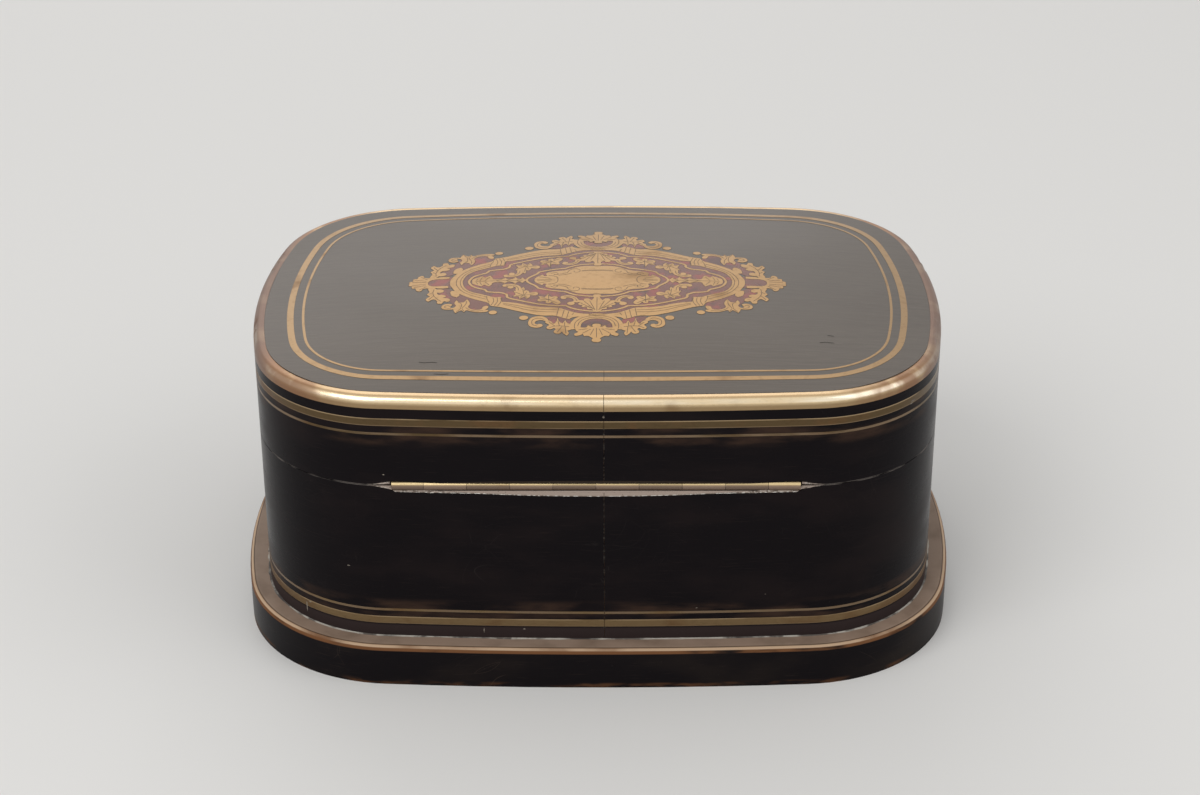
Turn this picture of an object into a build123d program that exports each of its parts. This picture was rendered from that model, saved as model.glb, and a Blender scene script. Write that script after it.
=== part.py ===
from build123d import *
import os
from math import cos, radians, sin, sqrt, tan

# A jewelry casket with a bowed outline, a low domed lid and a back hinge.
# Millimetres. The origin is the middle of the foot, +Z is up, the keyhole is
# on the -Y side and the hinge is on the +Y side.

# Outline of the case, seen from above
case_length = 270.0
case_depth = 186.5
corner_radius = 54.0
long_side_bow_radius = 1300.0
short_side_bow_radius = 240.0

# Heights above the surface that the casket stands on
plinth_height = 17.0
seam_height = 82.6
lid_edge_height = 119.4
dome_rise = 6.6
dome_dip_at_rim = 0.5

# Carcass
wall_thickness = 10.0
veneer_thickness = 0.85
glue_line = 0.05
seam_gap = 0.3
panel_thickness = 8.0
panel_seat_drop = 11.4
base_thickness = 9.0
base_rebate = 5.0

# Plinth moulding
plinth_projection = 8.0
plinth_round_radius = 2.5

# Brass edge of the lid
rim_width = 4.3
rim_height = 4.8
rim_round_radius = 3.0

# Brass strings round the sides: the wide one's middle above the plinth or below the
# lid's edge, and the thin one's distance from it
case_wide_line_rise = 7.0
case_line_spacing = 4.6
lid_wide_line_drop = 10.3
lid_line_spacing = 4.8
side_wide_line_width = 3.1
side_thin_line_width = 1.0

# Brass strings on the top, by their distance in from the outline
top_wide_line_inset = 14.4
top_thin_line_inset = 19.4
top_wide_line_width = 2.6
top_thin_line_width = 1.0

# Butt joints of veneer and strings at the middle of the back
butt_joint_x = -3.0
butt_joint_gap = 0.2

# Back hinge
hinge_inset = 2.7
hinge_chamfer_angle = 48.0
hinge_half_length = 76.0
knuckle_length = 16.0
knuckle_count = 10
knuckle_radius = 1.9
knuckle_gap = 0.15
hinge_pin_radius = 0.9
pin_clearance = 0.05
leaf_width = 6.4
leaf_thickness = 1.2
leaf_clearance = 0.1
barrel_clearance = 0.25
chamfer_reach = 100.0

# Screws
screw_radius = 1.1
screw_head_radius = 1.85
screw_head_height = 1.1
screw_length = 7.0
screw_clearance = 0.05
hinge_screw_count = 5
hinge_screw_spacing = 32.0
base_screw_inset = 7.6
base_screw_spacing_x = 70.0
base_screw_spacing_y = 50.0
base_screw_grip = 6.0

# Lock, let into the inside of the front wall; the key's drop is measured from the seam
key_drop = 20.6
lock_plate_width = 60.0
lock_plate_height = 30.0
lock_plate_thickness = 1.2
lock_recess = 0.05
selvedge_depth = 6.5
lock_box_width = 46.0
lock_box_depth = 5.3
lock_box_wall = 0.8
lock_box_bottom_drop = 8.0
lock_clearance = 0.2
lock_screw_offset = 26.5
lock_screw_length = 4.5
drill_pin_radius = 0.8
drill_pin_clearance = 0.1
bolt_travel = 4.0
key_throw_angle = 90.0
bolt_thickness = 1.6
bolt_left = -20.0
bolt_right = 17.0
bolt_bottom_above_key = 4.2
bolt_height = 7.8
talon_half_width = 3.9
talon_depth = 3.4
hook_post_width = 2.6
hook_finger_length = 4.2
hook_finger_height = 2.2
hook_finger_thickness = 1.2
staple_x = 9.0
staple_thickness = 1.6
staple_width = 3.6
staple_drop = 7.7
staple_eye_width = 1.9
staple_eye_height = 3.2
staple_foot = 1.4
staple_clearance = 0.4
link_plate_thickness = 1.3
link_screw_offset = 21.0
spring_thickness = 0.4
spring_length = 12.5
spring_gap = 0.2

# Key
key_shank_radius = 2.0
key_bit_radius = 7.0
key_bit_thickness = 1.6
key_bit_width = 3.6
key_collar_radius = 3.2
key_collar_length = 2.0
key_shank_projection = 14.0
key_bow_length = 19.0
key_bow_width = 21.0
key_bow_band = 3.5
key_bow_thickness = 3.0
keyhole_clearance = 0.3

# Escutcheon
escutcheon_width = 12.0
escutcheon_height = 18.0
escutcheon_drop = 2.0
escutcheon_pin_radius = 0.6
escutcheon_pin_length = 3.0
escutcheon_pin_spacing = 14.5

# Inside fittings of the case
lining_board_thickness = 3.0
fitting_gap = 0.15
case_lining_thickness = 3.0
floor_pad_thickness = 6.0
soft_gap = 0.3

# Lift-out tray
tray_clearance = 1.0
tray_top_drop = 6.45
tray_wall_thickness = 3.0
tray_floor_thickness = 2.0
tray_height = 22.0
divider_thickness = 2.4
divider_height = 17.0
divider_x = 46.0
divider_y = -22.0
ring_roll_diameter = 13.0
ring_roll_pitch = 15.4
ring_roll_count = 6
tab_width = 14.0
tab_thickness = 1.2
tab_rise = 3.0
tab_hang = 12.0
tray_pad_thickness = 2.0

# Inside fittings of the lid
lid_lining_thickness = 3.0
lid_lining_rise = 8.05
lid_lining_gap = 1.0
lid_pad_bottom_drop = 17.4
lid_pad_inset = 14.0
button_radius = 3.0
button_height = 2.0
button_pitch_x = 38.0
button_pitch_y = 34.0
button_rows = 3
button_columns = 2
button_sink = 3.0

# Marquetry of the lid: each outline is a quarter, from the X axis to the Y axis
shell_quarter = [(75, 0), (66, 11), (66, 19), (59, 26), (50, 30), (40, 31), (37.5, 24.5), (30, 29),
                 (30, 36), (24, 41), (13, 46), (5, 50), (0, 53)]
band_quarter = [(57, 0), (52.7, 11.3), (42.5, 19.3), (23, 31), (11, 33.5), (0, 33.5)]
band_width = 5.4
thread_quarter = [(49, 0), (47.2, 6.2), (42.8, 9.6), (36, 11.4), (33.6, 17), (22.4, 23.2), (11, 24),
                  (0, 25.5)]
thread_width = 0.9
medallion_quarter = [(27.5, 0), (25.8, 4.8), (21.8, 8.4), (14.5, 11.4), (7.5, 14.6), (0, 16.4)]
medallion_line_width = 0.9
medallion_plate_gap = 3.0
ring_centre_y = 38.2
ring_outer_radius = 9.8
ring_band = 4.1
inlay_clearance = 0.05
# Leaves: root x, root y, direction in degrees, length and width, in one quarter
quarter_leaves = [(60, 0, 30, 9, 4.5), (46, 20, 42, 10, 4.6), (47, 19, 10, 12, 5), (45, 21, 78, 8, 3.6),
                  (12, 37.5, 8, 13, 5), (10, 41, 62, 4.5, 2.6), (31, 13, 195, 8, 3.4),
                  (24, 17, 160, 10, 3.6)]
axis_leaves = [(59.5, 0, 0, 14, 7), (32, 0, 0, 15, 6)]
fan_leaves = [(0, 18.5, 90, 6, 4), (0, 48.3, 90, 4.2, 3.5)]

# Places worked out from the sizes above
half_length = case_length / 2
half_depth = case_depth / 2
bare_inset = veneer_thickness + glue_line
case_top = seam_height - seam_gap / 2
lid_bottom = seam_height + seam_gap / 2
hinge_y = half_depth - hinge_inset
rim_bottom = lid_edge_height - rim_height
panel_seat_height = lid_edge_height - panel_seat_drop
case_wide_line_height = plinth_height + case_wide_line_rise
case_thin_line_height = case_wide_line_height + case_line_spacing
lid_wide_line_height = lid_edge_height - lid_wide_line_drop
lid_thin_line_height = lid_wide_line_height - lid_line_spacing
lid_lining_bottom = lid_bottom + lid_lining_rise
lid_lining_top = panel_seat_height - lid_lining_gap
lid_pad_bottom = lid_edge_height - lid_pad_bottom_drop
well_floor = base_thickness + glue_line
inner_front = -(half_depth - wall_thickness)
lock_plate_face = inner_front - lock_recess
lock_box_inner_face = lock_plate_face - lock_plate_thickness
lock_box_front = lock_box_inner_face - lock_box_depth
lock_middle_y = (lock_box_inner_face + lock_box_front + lock_box_wall) / 2
key_height = seam_height - key_drop
lock_box_bottom = key_height - lock_box_bottom_drop
lock_recess_half = lock_plate_width / 2 + leaf_clearance
selvedge_front = lock_plate_face - selvedge_depth
bolt_bottom = key_height + bolt_bottom_above_key
bolt_front = lock_middle_y - bolt_thickness / 2
bolt_back = lock_middle_y + bolt_thickness / 2
tray_inset = wall_thickness + tray_clearance
tray_top = seam_height - tray_top_drop
tray_bottom = tray_top - tray_height
lining_board_top = tray_bottom - fitting_gap
tray_inner_bottom = tray_bottom + tray_floor_thickness
front_face = -half_depth
long_drop = long_side_bow_radius - half_depth
short_drop = short_side_bow_radius - half_length
tall = 200.0
below = (Align.CENTER, Align.CENTER, Align.MAX)

os.makedirs("parts", exist_ok=True)


def bow_corner(inset):
    """The ends and the middle of the corner arc, in the +X +Y corner, for an outline moved in by inset."""
    long_reach = long_side_bow_radius - corner_radius
    short_reach = short_side_bow_radius - corner_radius
    slope = short_drop / long_drop
    level = (long_reach**2 - short_reach**2 - long_drop**2 + short_drop**2) / (2 * long_drop)
    square = 1 + slope**2
    linear = short_drop + slope * level
    constant = short_drop**2 + level**2 - short_reach**2
    centre_x = (-linear + sqrt(linear**2 - square * constant)) / square
    centre = Vector(centre_x, level + slope * centre_x)
    to_long_side = (centre - Vector(0, -long_drop)).normalized()
    to_short_side = (centre - Vector(-short_drop, 0)).normalized()
    radius = corner_radius - inset
    middle = (to_long_side + to_short_side).normalized()
    return centre + to_long_side * radius, centre + middle * radius, centre + to_short_side * radius


def casket_outline(inset, mode=Mode.ADD):
    """Draws the bowed outline, moved in by inset, in the current sketch."""
    long_end, middle, short_end = bow_corner(inset)
    with BuildLine() as line:
        for side_x in (1, -1):
            for side_y in (1, -1):
                ThreePointArc(
                    (side_x * long_end.X, side_y * long_end.Y),
                    (side_x * middle.X, side_y * middle.Y),
                    (side_x * short_end.X, side_y * short_end.Y),
                )
        for side in (1, -1):
            ThreePointArc(
                (-long_end.X, side * long_end.Y),
                (0, side * (half_depth - inset)),
                (long_end.X, side * long_end.Y),
            )
            ThreePointArc(
                (side * short_end.X, -short_end.Y),
                (side * (half_length - inset), 0),
                (side * short_end.X, short_end.Y),
            )
    make_face(line.edges(), mode=mode)


def casket_ring(outer_inset, inner_inset, mode=Mode.ADD):
    """Draws the flat ring between two insets of the outline in the current sketch."""
    casket_outline(outer_inset, mode)
    casket_outline(inner_inset, Mode.SUBTRACT if mode == Mode.ADD else Mode.ADD)


def ring_wall(bottom, top, outer_inset, inner_inset):
    """Adds an upright ring that follows the outline to the current part."""
    with BuildSketch(Plane.XY.offset(bottom)) as ring:
        casket_ring(outer_inset, inner_inset)
    extrude(ring.sketch, amount=top - bottom)


def board(bottom, top, inset, mode=Mode.ADD):
    """Adds a flat board of the outline's shape to the current part."""
    with BuildSketch(Plane.XY.offset(bottom)) as shape:
        casket_outline(inset)
    extrude(shape.sketch, amount=top - bottom, mode=mode)


def dome_face(drop):
    """The domed surface of the lid, lowered by drop: a parabola each way, highest in the middle."""
    reach = 1.04
    edge = 1 - reach**2
    shares = ((-reach, edge), (0, 1 + reach**2), (reach, edge))
    base = lid_edge_height - dome_dip_at_rim - drop
    points = []
    for along_x, lift_x in shares:
        x = along_x * half_length
        row = [(x, y * half_depth, base + dome_rise * lift_x * lift_y) for y, lift_y in shares]
        points.append(row)
    return Face.make_bezier_surface(points)


def dome_layer(drop, thickness):
    """The layer of the given thickness whose top is the domed surface lowered by drop."""
    return extrude(dome_face(drop + thickness), amount=thickness, dir=(0, 0, 1), mode=Mode.PRIVATE)


def dome_cap(drop):
    """All that lies above the domed surface lowered by drop."""
    return extrude(dome_face(drop), amount=4 * dome_rise, dir=(0, 0, 1), mode=Mode.PRIVATE)


def cut_butt_joint():
    """Cuts the narrow joint at the middle of the back from the current part."""
    with Locations((butt_joint_x, half_depth, 0)):
        Box(butt_joint_gap, 2 * wall_thickness + 2 * top_thin_line_inset, 2 * tall, mode=Mode.SUBTRACT)


def barrel(start, end, radius, mode=Mode.ADD):
    """Adds or cuts a cylinder on the hinge's axis."""
    with BuildSketch(Plane.YZ.offset(start)) as circle:
        with Locations((hinge_y, seam_height)):
            Circle(radius)
    extrude(circle.sketch, amount=end - start, mode=mode)


def cut_hinge_seat(upward):
    """Cuts a chamfer, half a cove and a leaf's seat; upward is 1 on the lid and -1 on the case."""
    fall = tan(radians(hinge_chamfer_angle))
    outward = 3 * hinge_inset
    with BuildSketch(Plane.YZ.offset(-chamfer_reach)) as chamfer_shape:
        with BuildLine():
            Polyline(
                (hinge_y, seam_height),
                (hinge_y + outward, seam_height),
                (hinge_y + outward, seam_height + upward * outward * fall),
                close=True,
            )
        make_face()
    extrude(chamfer_shape.sketch, amount=2 * chamfer_reach, mode=Mode.SUBTRACT)
    cove_half = hinge_half_length + barrel_clearance
    barrel(-cove_half, cove_half, knuckle_radius + barrel_clearance, Mode.SUBTRACT)
    depth = leaf_thickness + glue_line
    width = leaf_width + leaf_clearance
    with Locations((0, hinge_y - width / 2, seam_height + upward * (seam_gap + depth) / 2)):
        Box(2 * cove_half, width, depth, mode=Mode.SUBTRACT)


def knuckle_ends():
    """The two ends of each knuckle along the hinge, from one end to the other."""
    inner = knuckle_count - 2
    joints = [(place - inner / 2) * knuckle_length for place in range(inner + 1)]
    edges = [-hinge_half_length] + joints + [hinge_half_length]
    return list(zip(edges[:-1], edges[1:]))


def hinge_leaf(upward, first):
    """Adds one leaf with every second knuckle, starting at number first, to the current part."""
    middle_z = seam_height + upward * (seam_gap + leaf_thickness) / 2
    with Locations((0, hinge_y - leaf_width / 2, middle_z)):
        Box(2 * hinge_half_length, leaf_width, leaf_thickness)
    for number, (start, end) in enumerate(knuckle_ends()):
        own = number % 2 == first
        margin = knuckle_gap / 2 if own else -knuckle_gap / 2
        radius = knuckle_radius if own else knuckle_radius + barrel_clearance
        barrel(start + margin, end - margin, radius, Mode.ADD if own else Mode.SUBTRACT)
    bore_half = hinge_half_length + knuckle_gap
    barrel(-bore_half, bore_half, hinge_pin_radius + pin_clearance, Mode.SUBTRACT)


def screws_at(places, length, grow=0.0, mode=Mode.ADD):
    """Countersunk screws that point along local -Z from each place, or, with grow, the holes for them."""
    with Locations(*places):
        Cylinder(screw_radius + grow, length + grow, align=below, mode=mode)
        Cone(screw_radius + grow, screw_head_radius + grow, screw_head_height, align=below, mode=mode)


def front_plane(y, z):
    """The plane that faces the front, with its origin on the middle line."""
    return Plane(origin=(0, y, z), x_dir=(1, 0, 0), z_dir=(0, -1, 0))


def keyhole(clearance):
    """Draws a keyhole in the current sketch, whose origin is on the key's axis."""
    Circle(key_shank_radius + clearance)
    with Locations((0, -key_bit_radius / 2)):
        Rectangle(key_bit_thickness + 2 * clearance, key_bit_radius + 2 * clearance)


def cut_keyhole(from_y, to_y, clearance):
    """Cuts a keyhole through the current part between two depths."""
    with BuildSketch(front_plane(from_y, key_height)) as shape:
        keyhole(clearance)
    extrude(shape.sketch, amount=from_y - to_y, mode=Mode.SUBTRACT)


def block(low, high, mode=Mode.ADD):
    """Adds or cuts the box between two corners."""
    size = [high[i] - low[i] for i in range(3)]
    with Locations(((low[0] + high[0]) / 2, (low[1] + high[1]) / 2, (low[2] + high[2]) / 2)):
        Box(*size, mode=mode)


def mirrored_outline(quarter, mode=Mode.ADD):
    """Draws a closed outline from its quarter, mirrored both ways, in the current sketch."""
    path = quarter + [(-x, y) for x, y in reversed(quarter[:-1])]
    path += [(-x, -y) for x, y in quarter[1:]]
    path += [(x, -y) for x, y in reversed(quarter[1:-1])]
    with BuildLine() as line:
        Polyline(*path, close=True)
    make_face(line.edges(), mode=mode)


def outline_band(quarter, width):
    """Draws the band inside a mirrored outline in the current sketch."""
    with BuildSketch(mode=Mode.PRIVATE) as whole:
        mirrored_outline(quarter)
    inner = offset(whole.sketch, amount=-width, mode=Mode.PRIVATE)
    add(whole.sketch)
    add(inner, mode=Mode.SUBTRACT)


def leaf(root_x, root_y, angle, length, width):
    """Draws a pointed leaf of two arcs from its root in the current sketch."""
    along = Vector(cos(radians(angle)), sin(radians(angle)))
    across = Vector(-along.Y, along.X)
    root = Vector(root_x, root_y)
    tip = root + along * length
    belly = root + along * (length / 2)
    with BuildLine() as line:
        ThreePointArc(root, belly + across * (width / 2), tip)
        ThreePointArc(tip, belly - across * (width / 2), root)
    make_face(line.edges())


def side_line(middle, width):
    """Adds a brass string round the sides, by the height of its middle, to the current part."""
    ring_wall(middle - width / 2, middle + width / 2, 0, veneer_thickness)
    cut_butt_joint()


def top_line(inset, width):
    """Adds a brass string on the dome, by the inset of its middle, to the current part."""
    with BuildSketch(Plane.XY.offset(rim_bottom)) as ring:
        casket_ring(inset - width / 2, inset + width / 2)
    extrude(ring.sketch, amount=4 * dome_rise)
    add(dome_layer(0, veneer_thickness), mode=Mode.INTERSECT)
    cut_butt_joint()


def inlay(shape):
    """Adds a flat shape, cut from sheet and laid flush in the dome, to the current part."""
    extrude(Plane.XY.offset(rim_bottom) * shape, amount=4 * dome_rise)
    add(dome_layer(0, veneer_thickness), mode=Mode.INTERSECT)


def long_side_y(x, inset):
    """How far back the long side is at x, for an outline moved in by inset."""
    return sqrt((long_side_bow_radius - inset) ** 2 - x**2) - long_drop


def short_side_x(y, inset):
    """How far out the short side is at y, for an outline moved in by inset."""
    return sqrt((short_side_bow_radius - inset) ** 2 - y**2) - short_drop


# Places of the screws and pins
base_screw_places = []
for side in (-1, 1):
    for x in (-base_screw_spacing_x, 0, base_screw_spacing_x):
        y = side * long_side_y(x, base_screw_inset)
        base_screw_places.append(Location((x, y, 0), (180, 0, 0)))
    for y in (-base_screw_spacing_y / 2, base_screw_spacing_y / 2):
        x = side * short_side_x(y, base_screw_inset)
        base_screw_places.append(Location((x, y, 0), (180, 0, 0)))
base_screw_length = base_thickness + base_screw_grip
hinge_screw_first = -(hinge_screw_count - 1) / 2 * hinge_screw_spacing
hinge_screw_xs = [hinge_screw_first + place * hinge_screw_spacing for place in range(hinge_screw_count)]
hinge_screw_y = hinge_y - (leaf_width + knuckle_radius + barrel_clearance) / 2
case_screw_z = case_top - glue_line
lid_screw_z = lid_bottom + glue_line
case_hinge_screw_places = [Location((x, hinge_screw_y, case_screw_z)) for x in hinge_screw_xs]
lid_hinge_screw_places = [Location((x, hinge_screw_y, lid_screw_z), (180, 0, 0)) for x in hinge_screw_xs]
lock_screw_places = [
    Location((side_x * lock_screw_offset, lock_plate_face - glue_line, case_top - drop), (-90, 0, 0))
    for side_x in (-1, 1)
    for drop in (lock_plate_height * 0.25, lock_plate_height * 0.8)
]
link_screw_xs = (-link_screw_offset, 0, link_screw_offset)
link_screw_places = [Location((x, lock_middle_y, lid_screw_z), (180, 0, 0)) for x in link_screw_xs]
escutcheon_pin_places = [
    (0, key_height - escutcheon_drop + side * escutcheon_pin_spacing / 2) for side in (-1, 1)
]

# Carcass of the case: an upright ring with a rebate for the base
with BuildPart() as case_wall:
    ring_wall(0, case_top, bare_inset, wall_thickness)
    board(0, base_thickness + glue_line, base_rebate, mode=Mode.SUBTRACT)
    cut_hinge_seat(-1)
    screws_at(case_hinge_screw_places, screw_length, screw_clearance, Mode.SUBTRACT)
    screws_at(base_screw_places, base_screw_length, screw_clearance, Mode.SUBTRACT)
    screws_at(lock_screw_places, lock_screw_length, screw_clearance, Mode.SUBTRACT)
    block(
        (-lock_recess_half, lock_box_inner_face - glue_line, case_top - lock_plate_height - leaf_clearance),
        (lock_recess_half, inner_front + wall_thickness / 2, case_top + 1),
        mode=Mode.SUBTRACT,
    )
    block(
        (-lock_recess_half, selvedge_front - leaf_clearance, case_top - lock_plate_thickness - glue_line),
        (lock_recess_half, inner_front, case_top + 1),
        mode=Mode.SUBTRACT,
    )
    block(
        (
            -lock_box_width / 2 - lock_clearance,
            lock_box_front - lock_clearance,
            lock_box_bottom - lock_clearance,
        ),
        (lock_box_width / 2 + lock_clearance, inner_front, case_top + 1),
        mode=Mode.SUBTRACT,
    )
    cut_keyhole(inner_front, front_face, keyhole_clearance)
    with BuildSketch(front_plane(front_face, 0)):
        with Locations(*escutcheon_pin_places):
            Circle(escutcheon_pin_radius + screw_clearance)
    extrude(amount=-escutcheon_pin_length - glue_line, mode=Mode.SUBTRACT)
case_wall.part.label = "case_wall"
export_step(case_wall.part, "parts/case_wall.step")

# Ebonised veneer of the case, in the strips that the strings leave
wide_line_half = side_wide_line_width / 2 + glue_line
thin_line_half = side_thin_line_width / 2 + glue_line
with BuildPart() as case_veneer:
    case_strips = [
        (plinth_height + glue_line, case_wide_line_height - wide_line_half),
        (case_wide_line_height + wide_line_half, case_thin_line_height - thin_line_half),
        (case_thin_line_height + thin_line_half, case_top),
    ]
    for strip_bottom, strip_top in case_strips:
        ring_wall(strip_bottom, strip_top, 0, veneer_thickness)
    cut_hinge_seat(-1)
    cut_butt_joint()
    with BuildSketch(front_plane(front_face + wall_thickness / 2, key_height - escutcheon_drop)):
        Ellipse(escutcheon_width / 2 + inlay_clearance, escutcheon_height / 2 + inlay_clearance)
    extrude(amount=wall_thickness, mode=Mode.SUBTRACT)
case_veneer.part.label = "case_veneer"
export_step(case_veneer.part, "parts/case_veneer.step")

# Plinth moulding, glued round the foot of the carcass
with BuildPart() as plinth_moulding:
    board(0, plinth_height, -plinth_projection)
    fillet(plinth_moulding.faces().sort_by(Axis.Z)[-1].outer_wire().edges(), radius=plinth_round_radius)
    board(-1, plinth_height + 1, veneer_thickness, mode=Mode.SUBTRACT)
plinth_moulding.part.label = "plinth_moulding"
export_step(plinth_moulding.part, "parts/plinth_moulding.step")

with BuildPart() as base_board:
    board(0, base_thickness, base_rebate + glue_line)
    screws_at(base_screw_places, base_screw_length, screw_clearance, Mode.SUBTRACT)
base_board.part.label = "base_board"
export_step(base_board.part, "parts/base_board.step")

with BuildPart() as base_screws:
    screws_at(base_screw_places, base_screw_length)
base_screws.part.label = "base_screws"
export_step(base_screws.part, "parts/base_screws.step")

with BuildPart() as case_line_wide:
    side_line(case_wide_line_height, side_wide_line_width)
case_line_wide.part.label = "case_line_wide"
export_step(case_line_wide.part, "parts/case_line_wide.step")

with BuildPart() as case_line_thin:
    side_line(case_thin_line_height, side_thin_line_width)
case_line_thin.part.label = "case_line_thin"
export_step(case_line_thin.part, "parts/case_line_thin.step")

# Fittings inside the case
lining_board_inset = wall_thickness + fitting_gap
with BuildPart() as lining_board:
    ring_wall(well_floor, lining_board_top, lining_board_inset, lining_board_inset + lining_board_thickness)
lining_board.part.label = "lining_board"
export_step(lining_board.part, "parts/lining_board.step")

lining_inset = lining_board_inset + lining_board_thickness + soft_gap
with BuildPart() as floor_pad:
    board(well_floor + soft_gap, well_floor + soft_gap + floor_pad_thickness, lining_inset)
floor_pad.part.label = "floor_pad"
export_step(floor_pad.part, "parts/floor_pad.step")

with BuildPart() as case_lining:
    lining_bottom = well_floor + floor_pad_thickness + 2 * soft_gap
    ring_wall(lining_bottom, lining_board_top - soft_gap, lining_inset, lining_inset + case_lining_thickness)
case_lining.part.label = "case_lining"
export_step(case_lining.part, "parts/case_lining.step")

# Back hinge
with BuildPart() as hinge_leaf_case:
    hinge_leaf(-1, 0)
    screws_at(case_hinge_screw_places, screw_length, screw_clearance, Mode.SUBTRACT)
hinge_leaf_case.part.label = "hinge_leaf_case"
export_step(hinge_leaf_case.part, "parts/hinge_leaf_case.step")

with BuildPart() as hinge_leaf_lid:
    hinge_leaf(1, 1)
    screws_at(lid_hinge_screw_places, screw_length, screw_clearance, Mode.SUBTRACT)
hinge_leaf_lid.part.label = "hinge_leaf_lid"
export_step(hinge_leaf_lid.part, "parts/hinge_leaf_lid.step")

with BuildPart() as hinge_pin:
    barrel(-hinge_half_length, hinge_half_length, hinge_pin_radius)
hinge_pin.part.label = "hinge_pin"
export_step(hinge_pin.part, "parts/hinge_pin.step")

with BuildPart() as hinge_screws_case:
    screws_at(case_hinge_screw_places, screw_length)
hinge_screws_case.part.label = "hinge_screws_case"
export_step(hinge_screws_case.part, "parts/hinge_screws_case.step")

with BuildPart() as hinge_screws_lid:
    screws_at(lid_hinge_screw_places, screw_length)
hinge_screws_lid.part.label = "hinge_screws_lid"
export_step(hinge_screws_lid.part, "parts/hinge_screws_lid.step")

# Lock: a plate with a selvedge along the top edge, and a box over the works
with BuildPart() as lock_plate:
    block(
        (-lock_plate_width / 2, lock_box_inner_face, case_top - lock_plate_height),
        (lock_plate_width / 2, lock_plate_face, case_top - glue_line),
    )
    block(
        (-lock_plate_width / 2, selvedge_front, case_top - lock_plate_thickness),
        (lock_plate_width / 2, lock_plate_face, case_top - glue_line),
    )
    with Locations((-staple_x, lock_middle_y, case_top), (staple_x, lock_middle_y, case_top)):
        Box(
            staple_thickness + 2 * staple_clearance,
            staple_width + 2 * staple_clearance,
            4 * lock_plate_thickness,
            mode=Mode.SUBTRACT,
        )
    screws_at(lock_screw_places, lock_screw_length, screw_clearance, Mode.SUBTRACT)
lock_plate.part.label = "lock_plate"
export_step(lock_plate.part, "parts/lock_plate.step")

with BuildPart() as lock_box:
    box_low = (-lock_box_width / 2, lock_box_front, lock_box_bottom)
    box_high = (lock_box_width / 2, lock_box_inner_face, case_top - lock_plate_thickness - glue_line)
    block(box_low, box_high)
    block(
        (box_low[0] + lock_box_wall, box_low[1] + lock_box_wall, box_low[2] + lock_box_wall),
        (box_high[0] - lock_box_wall, box_high[1] + 1, box_high[2] + 1),
        mode=Mode.SUBTRACT,
    )
    cut_keyhole(inner_front, front_face, keyhole_clearance)
lock_box.part.label = "lock_box"
export_step(lock_box.part, "parts/lock_box.step")

with BuildPart() as drill_pin:
    with BuildSketch(front_plane(lock_box_inner_face, key_height)):
        Circle(drill_pin_radius)
    extrude(amount=lock_box_depth)
drill_pin.part.label = "drill_pin"
export_step(drill_pin.part, "parts/drill_pin.step")

with BuildPart() as lock_screws:
    screws_at(lock_screw_places, lock_screw_length)
lock_screws.part.label = "lock_screws"
export_step(lock_screws.part, "parts/lock_screws.step")

spring_left = -lock_box_width / 2 + lock_box_wall + glue_line
spring_top = bolt_bottom - spring_gap
with BuildPart() as lock_spring:
    block(
        (spring_left, bolt_front, spring_top - spring_thickness),
        (spring_left + spring_length, bolt_back, spring_top),
    )
lock_spring.part.label = "lock_spring"
export_step(lock_spring.part, "parts/lock_spring.step")

staple_bottom = lid_bottom - staple_drop
eye_bottom = staple_bottom + staple_foot
finger_bottom = eye_bottom + (staple_eye_height - hook_finger_height) / 2
finger_top = finger_bottom + hook_finger_height
with BuildPart() as lock_bolt:
    block((bolt_left, bolt_front, bolt_bottom), (bolt_right, bolt_back, bolt_bottom + bolt_height))
    talon_middle = -bolt_travel / 2
    block(
        (talon_middle - talon_half_width, bolt_front - 1, bolt_bottom - 1),
        (talon_middle + talon_half_width, bolt_back + 1, bolt_bottom + talon_depth),
        mode=Mode.SUBTRACT,
    )
    for side in (-1, 1):
        finger_tip = side * staple_x - staple_thickness / 2 - staple_clearance
        post_right = finger_tip - hook_finger_length
        block(
            (post_right - hook_post_width, bolt_front, bolt_bottom + bolt_height),
            (post_right, bolt_back, finger_top),
        )
        block(
            (post_right - glue_line, lock_middle_y - hook_finger_thickness / 2, finger_bottom),
            (finger_tip, lock_middle_y + hook_finger_thickness / 2, finger_top),
        )
lock_bolt.part.label = "lock_bolt"
export_step(lock_bolt.part, "parts/lock_bolt.step")

with BuildPart() as link_plate:
    block(
        (-lock_plate_width / 2, selvedge_front, lid_bottom),
        (lock_plate_width / 2, lock_plate_face, lid_bottom + link_plate_thickness),
    )
    for staple_middle_x in (-staple_x, staple_x):
        with Locations((staple_middle_x, lock_middle_y, lid_bottom)):
            Box(staple_thickness, staple_width, staple_drop, align=below)
        with Locations((staple_middle_x, lock_middle_y, eye_bottom + staple_eye_height)):
            Box(2 * staple_thickness, staple_eye_width, staple_eye_height, align=below, mode=Mode.SUBTRACT)
    screws_at(link_screw_places, screw_length, screw_clearance, Mode.SUBTRACT)
link_plate.part.label = "link_plate"
export_step(link_plate.part, "parts/link_plate.step")

with BuildPart() as link_screws:
    screws_at(link_screw_places, screw_length)
link_screws.part.label = "link_screws"
export_step(link_screws.part, "parts/link_screws.step")

with BuildPart() as escutcheon:
    with BuildSketch(front_plane(front_face + veneer_thickness, key_height)):
        with Locations((0, -escutcheon_drop)):
            Ellipse(escutcheon_width / 2, escutcheon_height / 2)
    extrude(amount=veneer_thickness)
    cut_keyhole(inner_front, front_face - 1, keyhole_clearance)
    with BuildSketch(front_plane(front_face, 0)):
        with Locations(*escutcheon_pin_places):
            Circle(escutcheon_pin_radius + pin_clearance)
    extrude(amount=-wall_thickness, mode=Mode.SUBTRACT)
escutcheon.part.label = "escutcheon"
export_step(escutcheon.part, "parts/escutcheon.step")

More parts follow.
